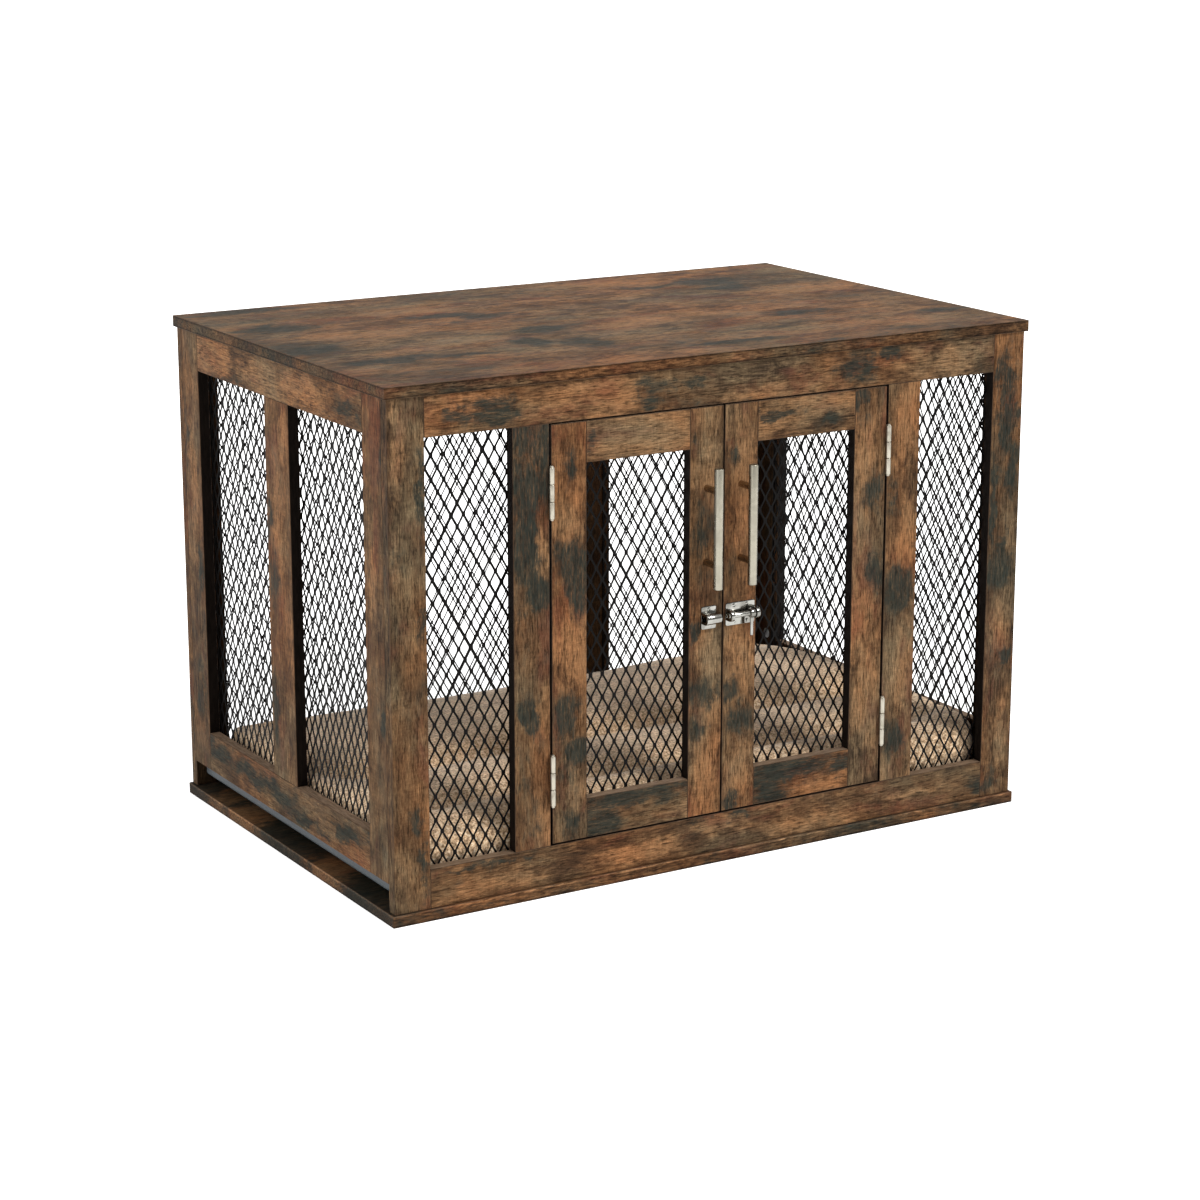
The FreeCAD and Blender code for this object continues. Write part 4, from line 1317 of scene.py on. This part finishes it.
@dataclass
class Handles:
    """The T-bar handles: a brushed bar on two polished posts.

    The screw's side is given as points of its outline, in shares of its radius and of its rise.
    """

    line_x: float = 26 * MM
    face_y: float = -308 * MM
    back_y: float = -293 * MM
    bar_y: float = -336 * MM
    height: float = 453 * MM
    length: float = 156 * MM
    centres: float = 96 * MM
    bar_radius: float = 6 * MM
    bar_ease: float = 0.9 * MM
    post_radius: float = 4.5 * MM
    post_sunk: float = 0.8
    foot_ease: float = 0.4 * MM
    screw_radius: float = 4 * MM
    screw_rise: float = 2.5 * MM
    screw_outline: tuple = ((1.0, 0.0), (1.0, 0.55), (0.92, 0.8), (0.78, 0.9))
    screw_dome: float = 0.08
    screw_recess: float = 0.5

    def post(self, height: float) -> Shape:
        """Return one post with its foot, from the door's face into the bar."""
        top = self.face_y - self.bar_y - self.bar_radius * self.post_sunk
        profile = [(0.0, 0.0), (self.post_radius - self.foot_ease, 0.0), (self.post_radius, self.foot_ease),
                   (self.post_radius, top), (0.0, top)]
        return put(lathe(profile, 28), facing(FRONT, Vector((self.line_x, self.face_y, height))))

    def screw(self, height: float) -> list[Shape]:
        """Return one pan head inside the door."""
        profile = [(self.screw_radius * reach, self.screw_rise * rise) for reach, rise in self.screw_outline]
        radius, foot = profile[-1]
        top = cross_head(radius, self.screw_rise * self.screw_dome, self.screw_rise * self.screw_recess)
        place = facing(REAR, Vector((self.line_x, self.back_y, height)))
        return [put(shape, place) for shape in (lathe(profile, 28), shift(top, (0, 0, foot)))]

    def build(self) -> None:
        """Build both handles and their screws."""
        for side in Side:
            bar = Piece(f"{side.word}_handle_bar")
            grip = rounded_bar(self.bar_radius, -self.length / 2, self.length / 2, self.bar_ease, 40)
            bar.add(side.mirror @ Matrix.Translation((self.line_x, self.bar_y, self.height)), grip)
            bar.finish(NICKEL, side.door, Slot.HANDLE, f"{side.word}_door_handle")
            posts = Piece(f"{side.word}_handle_posts")
            screws = Piece(f"{side.word}_handle_screw_heads")
            for step in (-0.5, 0.5):
                height = self.height + step * self.centres
                posts.add(side.mirror, self.post(height))
                screws.add(side.mirror, *self.screw(height))
            posts.finish(POST_NICKEL, side.door, Slot.HANDLE)
            screws.finish(POST_NICKEL, side.door, Slot.HANDLE, f"{side.word}_door_handle_screws")


@dataclass
class BarrelBolt:
    """The barrel bolt, drawn back: housing, bolt and knob on the right door, keeper on the left."""

    height: float = 332 * MM
    face_y: float = -308 * MM
    axis_y: float = -317 * MM
    plate_thick: float = 1.5 * MM
    plate_high: float = 30 * MM
    plate_corner: float = 2.5 * MM
    plate_ease: float = 0.4 * MM
    housing: tuple[float, float] = (4 * MM, 48 * MM)
    keeper: tuple[float, float] = (-33 * MM, -11 * MM)
    ring: float = 5 * MM
    ring_ease: float = 0.5 * MM
    bore: float = 3.8 * MM
    barrel: float = 7.5 * MM
    bolt_radius: float = 3.5 * MM
    bolt_ease: float = 1.0 * MM
    bolt: tuple[float, float] = (3 * MM, 48 * MM)
    collar: tuple[float, float] = (35.35 * MM, 42.05 * MM)
    collar_radius: float = 6 * MM
    collar_ease: float = 0.8 * MM
    pin_radius: float = 2.25 * MM
    pin_reach: float = 30 * MM
    pin_ease: float = 1.2 * MM
    pin_sunk: float = 0.8
    screw_radius: float = 2.6 * MM
    screw_dome: float = 0.55 * MM
    screw_recess: float = 0.7 * MM
    screw_proud: float = 0.02 * MM
    screw_rise: float = 11 * MM
    screw_inset: float = 12 * MM

    def at(self, x: float) -> Matrix:
        """Return the matrix that takes the origin to a place on the bolt's axis."""
        return Matrix.Translation((x, self.axis_y, self.height))

    def rod(self, span: tuple[float, float], radius: float, ease: float) -> Shape:
        """Return a round rod on the bolt's axis."""
        low, high = span
        turn = Matrix.Rotation(math.pi / 2, 4, "Y")
        return put(rounded_bar(radius, 0, high - low, ease), self.at(low) @ turn)

    def base(self, piece: Piece, span: tuple[float, float], screws: tuple[float, ...]) -> None:
        """Add a plate on the door's face, with a screw above and below the axis at each place along X."""
        low, high = span
        shape = plate(high - low, self.plate_high, self.plate_thick, self.plate_corner, self.plate_ease)
        piece.add(Matrix.Translation(((low + high) / 2, self.face_y, self.height)), shape)
        front = self.face_y - self.plate_thick - self.screw_proud
        for x in screws:
            for rise in (-self.screw_rise, self.screw_rise):
                head = cross_head(self.screw_radius, self.screw_dome, self.screw_recess)
                piece.add(facing(FRONT, Vector((x, front, self.height + rise))), head)

    def tunnel(self, piece: Piece, low: float, high: float) -> None:
        """Add a stretch of barrel over the plate."""
        reach = self.face_y - self.plate_thick - self.axis_y
        piece.add(self.at(low), arch(self.bore, self.barrel, reach, high - low, self.ring_ease))

    def build(self) -> None:
        """Build the four pieces of the bolt."""
        low, high = self.housing
        housing = Piece("latch_housing_body")
        self.base(housing, self.housing, (low + self.screw_inset, high - self.screw_inset))
        self.tunnel(housing, low, low + self.ring)
        self.tunnel(housing, high - self.ring, high)
        housing.finish(CHROME, Body.RIGHT_DOOR, Slot.LATCH, "latch_housing")
        keeper = Piece("latch_keeper_body")
        self.base(keeper, self.keeper, (sum(self.keeper) / 2,))
        self.tunnel(keeper, *self.keeper)
        keeper.finish(CHROME, Body.LEFT_DOOR, Slot.LATCH, "latch_keeper")
        bolt = Piece("latch_bolt_rod")
        bolt.add(Matrix.Identity(4), self.rod(self.bolt, self.bolt_radius, self.bolt_ease))
        bolt.finish(CHROME, Body.BOLT, Slot.LATCH, "latch_bolt")
        knob = Piece("latch_knob_pin")
        knob.add(Matrix.Identity(4), self.rod(self.collar, self.collar_radius, self.collar_ease))
        top = -self.collar_radius * self.pin_sunk
        pin = rounded_bar(self.pin_radius, -self.pin_reach, top, self.pin_ease, 24)
        knob.add(self.at(sum(self.collar) / 2), pin)
        knob.finish(CHROME, Body.KNOB, Slot.LATCH, "latch_knob")


class TrayAndGuides:
    """The sliding tray and the channels that carry it."""

    def build(self) -> None:
        """Dress the tray and its guides."""
        dress("tray", TrayPlastic())
        dress("tray_guides", GUIDE_ZINC)


class Fittings:
    """The cam locks, and the bolts and screws that stay hidden in the boards."""

    def build(self) -> None:
        """Dress the cams, bolts and screws."""
        for node in ("cam_locks", "cam_bolts", "base_screws"):
            dress(node, FITTING_ZINC)


@dataclass
class Cushion:
    """The padded floor cushion, swollen by a cloth simulation between its sewn channels."""

    voxel: float = 8 * MM
    shrink: float = 2.5 * MM
    cap: float = 9 * MM
    pressure: float = 4.0
    stretch: float = 12.0
    bend: float = 0.6
    quality: int = 5
    frames: int = 20
    smooths: int = 2
    base_z: float = 49.9 * MM
    base_share: float = 0.6
    clear: float = 0.4 * MM
    channels: tuple[float, float] = (-196 * MM, -40 * MM)
    channel_half: float = 5 * MM
    channel_end: float = 415 * MM
    channel_wide: float = 24 * MM
    sink: float = 11 * MM
    fade: float = 90 * MM
    end_lift: float = 11 * MM
    top_z: float = 88 * MM
    fill: float = 0.7

    def start(self) -> bpy.types.Object:
        """Return a merged, slightly shrunk and evenly remeshed copy of the CAD cushion."""
        shape = face_out(shape_of(NODES["cushion"].data))
        shape.normal_update()
        for vert in shape.verts:
            vert.co -= vert.normal * self.shrink
        pad = show("cushion_pad", pour(shape, bpy.data.meshes.new("cushion_pad")))
        remesh = pad.modifiers.new("even", "REMESH")
        remesh.mode = "VOXEL"
        remesh.voxel_size = self.voxel
        self.bake(pad)
        return pad

    def bake(self, pad: bpy.types.Object) -> None:
        """Make what the modifiers give into the mesh itself, and drop them."""
        graph = bpy.context.evaluated_depsgraph_get()
        made = bpy.data.meshes.new_from_object(pad.evaluated_get(graph))
        old = pad.data
        pad.modifiers.clear()
        pad.data = made
        bpy.data.meshes.remove(old)

    def sewn(self, pad: bpy.types.Object) -> list[int]:
        """Return the points that stay put: the sewn channels and the flat underside."""
        under = self.base_z + self.shrink + self.voxel * self.base_share
        held = []
        for vert in pad.data.vertices:
            x, y, z = vert.co
            in_channel = any(abs(y - line) < self.channel_half for line in self.channels)
            if z < under or (in_channel and z > self.top_z and abs(x) < self.channel_end):
                held.append(vert.index)
        return held

    def swell(self, pad: bpy.types.Object) -> None:
        """Blow the cover up with a short cloth simulation, and hold every point within the cap."""
        rest = [vert.co.copy() for vert in pad.data.vertices]
        held = pad.vertex_groups.new(name="sewn")
        held.add(self.sewn(pad), 1.0, "REPLACE")
        cloth = pad.modifiers.new("swell", "CLOTH")
        settings = {"quality": self.quality, "use_pressure": True, "uniform_pressure_force": self.pressure,
                    "vertex_group_mass": held.name, "tension_stiffness": self.stretch,
                    "compression_stiffness": self.stretch, "bending_stiffness": self.bend}
        for name, value in settings.items():
            setattr(cloth.settings, name, value)
        cloth.settings.effector_weights.gravity = 0.0
        cloth.point_cache.frame_start = 1
        cloth.point_cache.frame_end = self.frames
        scene = bpy.context.scene
        for number in range(1, self.frames + 1):
            scene.frame_set(number)
        self.bake(pad)
        scene.frame_set(1)
        for vert, start in zip(pad.data.vertices, rest):
            moved = vert.co - start
            if moved.length > self.cap:
                vert.co = start + moved.normalized() * self.cap

    def settle(self, pad: bpy.types.Object) -> None:
        """Smooth the cover and keep it inside the room that its CAD solid holds."""
        low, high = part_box("cushion")
        shape = bmesh.new()
        shape.from_mesh(pad.data)
        for _ in range(self.smooths):
            bmesh.ops.smooth_vert(shape, verts=shape.verts, factor=0.5, use_axis_x=True, use_axis_y=True,
                                  use_axis_z=True)
        for vert in shape.verts:
            if vert.co.z > self.top_z:
                inside = min(1.0, max(0.0, (high.x - abs(vert.co.x)) / self.fade))
                vert.co.z += self.end_lift * (1 - inside)
                for line in self.channels:
                    away = (vert.co.y - line) / self.channel_wide
                    vert.co.z -= self.sink * inside * math.exp(-away ** 2)
            for axis in (0, 1):
                vert.co[axis] = min(max(vert.co[axis], low[axis] + self.clear), high[axis] - self.clear)
            vert.co.z = max(vert.co.z, self.base_z)
        for face in shape.faces:
            face.smooth = True
        pour(shape, pad.data)

    def build(self) -> None:
        """Build the cushion and stand it in for its CAD solid."""
        pad = self.start()
        self.swell(pad)
        self.settle(pad)
        pad.data.materials.clear()
        pad.data.materials.append(CushionCloth().material())
        finer = pad.modifiers.new("finer", "SUBSURF")
        finer.levels = 1
        finer.render_levels = 1
        attach(pad, Body.FRAME, Slot.CUSHION, "cushion")


@dataclass(frozen=True)
class Stand:
    """A place round the crate, with degrees from the front towards the right and from the floor upwards."""

    turn: float
    rise: float
    distance: float = 4.0
    target: tuple[float, float, float] = (0.0, 0.0, 0.0)

    def hold(self, name: str, data: bpy.types.ID) -> bpy.types.Object:
        """Return a new light or camera that stands here and looks at the target."""
        turn = math.radians(self.turn)
        rise = math.radians(self.rise)
        back = Vector((math.sin(turn) * math.cos(rise), -math.cos(turn) * math.cos(rise), math.sin(rise)))
        held = show(name, data)
        held.location = Vector(self.target) + back * self.distance
        held.rotation_mode = "QUATERNION"
        held.rotation_quaternion = back.to_track_quat("Z", "Y")
        return held


@dataclass(frozen=True)
class Lamp:
    """One soft and distant studio light, as even over the floor as over the crate."""

    name: str
    stand: Stand
    strength: float
    spread: float

    def build(self) -> None:
        """Hang the light."""
        data = bpy.data.lights.new(self.name, "SUN")
        data.energy = self.strength
        data.angle = math.radians(self.spread)
        self.stand.hold(self.name, data)


@dataclass
class Studio:
    """Pale floor, soft light and the camera at the photograph's angle."""

    view: Stand = Stand(-30.97, 14.56, 4.097, (-0.0044, -0.0107, 0.2862))
    lens: float = 90.1
    sensor: float = 36.0
    floor_half: float = 40.0
    floor_drop: float = 0.2 * MM
    floor_colour: Colour = (0.93, 0.93, 0.925, 1.0)
    floor_glow: float = 0.52
    sky: float = 1.05
    sky_front: float = 0.3
    sky_turn: Span = (-0.9, 0.7)
    sky_lean: float = 0.9
    lamps: tuple[Lamp, ...] = (
        Lamp("key_light", Stand(32.0, 44.0), 2.5, 14.0),
        Lamp("left_fill", Stand(-75.0, 28.0), 0.85, 40.0),
    )

    def build_floor(self) -> None:
        """Lay the floor just under the base."""
        shape = bmesh.new()
        bmesh.ops.create_grid(shape, x_segments=1, y_segments=1, size=self.floor_half)
        mesh = pour(shift(shape, (0, 0, -self.floor_drop)), bpy.data.meshes.new("floor"))
        material = bpy.data.materials.new("pale_floor")
        material.use_nodes = True
        look = {"Base Color": self.floor_colour, "Roughness": 0.8, "Specular IOR Level": 0.1,
                "Emission Color": (1.0, 1.0, 1.0, 1.0), "Emission Strength": self.floor_glow}
        for name, value in look.items():
            material.node_tree.nodes["Principled BSDF"].inputs[name].default_value = value
        mesh.materials.append(material)
        floor = show("floor", mesh)

    def build_sky(self) -> None:
        """Set a surround that looks white and whose light is dimmer on the camera's side."""
        world = bpy.data.worlds.new("surround")
        world.use_nodes = True
        graph = Graph(world.node_tree)
        split = graph.parts(graph.add("TexCoord").outputs["Object"])
        ahead = graph.total((split[2], self.sky_lean), (split[1], 1.0))
        level = graph.span(ahead, *self.sky_turn, self.sky_front, self.sky)
        seen = graph.add("LightPath").outputs["Is Camera Ray"]
        background = world.node_tree.nodes["Background"]
        graph.feed(background.inputs["Color"], graph.math("MAXIMUM", level, seen))
        bpy.context.scene.world = world

    def build_camera(self) -> None:
        """Set the camera at the photograph's viewing angle."""
        data = bpy.data.cameras.new("camera")
        data.lens = self.lens
        data.sensor_width = self.sensor
        bpy.context.scene.camera = self.view.hold("camera", data)

    def build(self) -> None:
        """Set up the whole studio."""
        bpy.context.scene.view_settings.view_transform = "Standard"
        self.build_floor()
        self.build_sky()
        for lamp in self.lamps:
            lamp.build()
        self.build_camera()


def main() -> None:
    """Build every sub-assembly in order."""
    logging.basicConfig(level=logging.INFO, format="%(name)s: %(message)s")
    for assembly in (Boards(), Nets(), Hinges(), Handles(), BarrelBolt(), TrayAndGuides(), Fittings(),
                     Cushion(), Studio()):
        assembly.build()
        log.info("%s done", type(assembly).__name__)


if __name__ == "__main__":
    main()
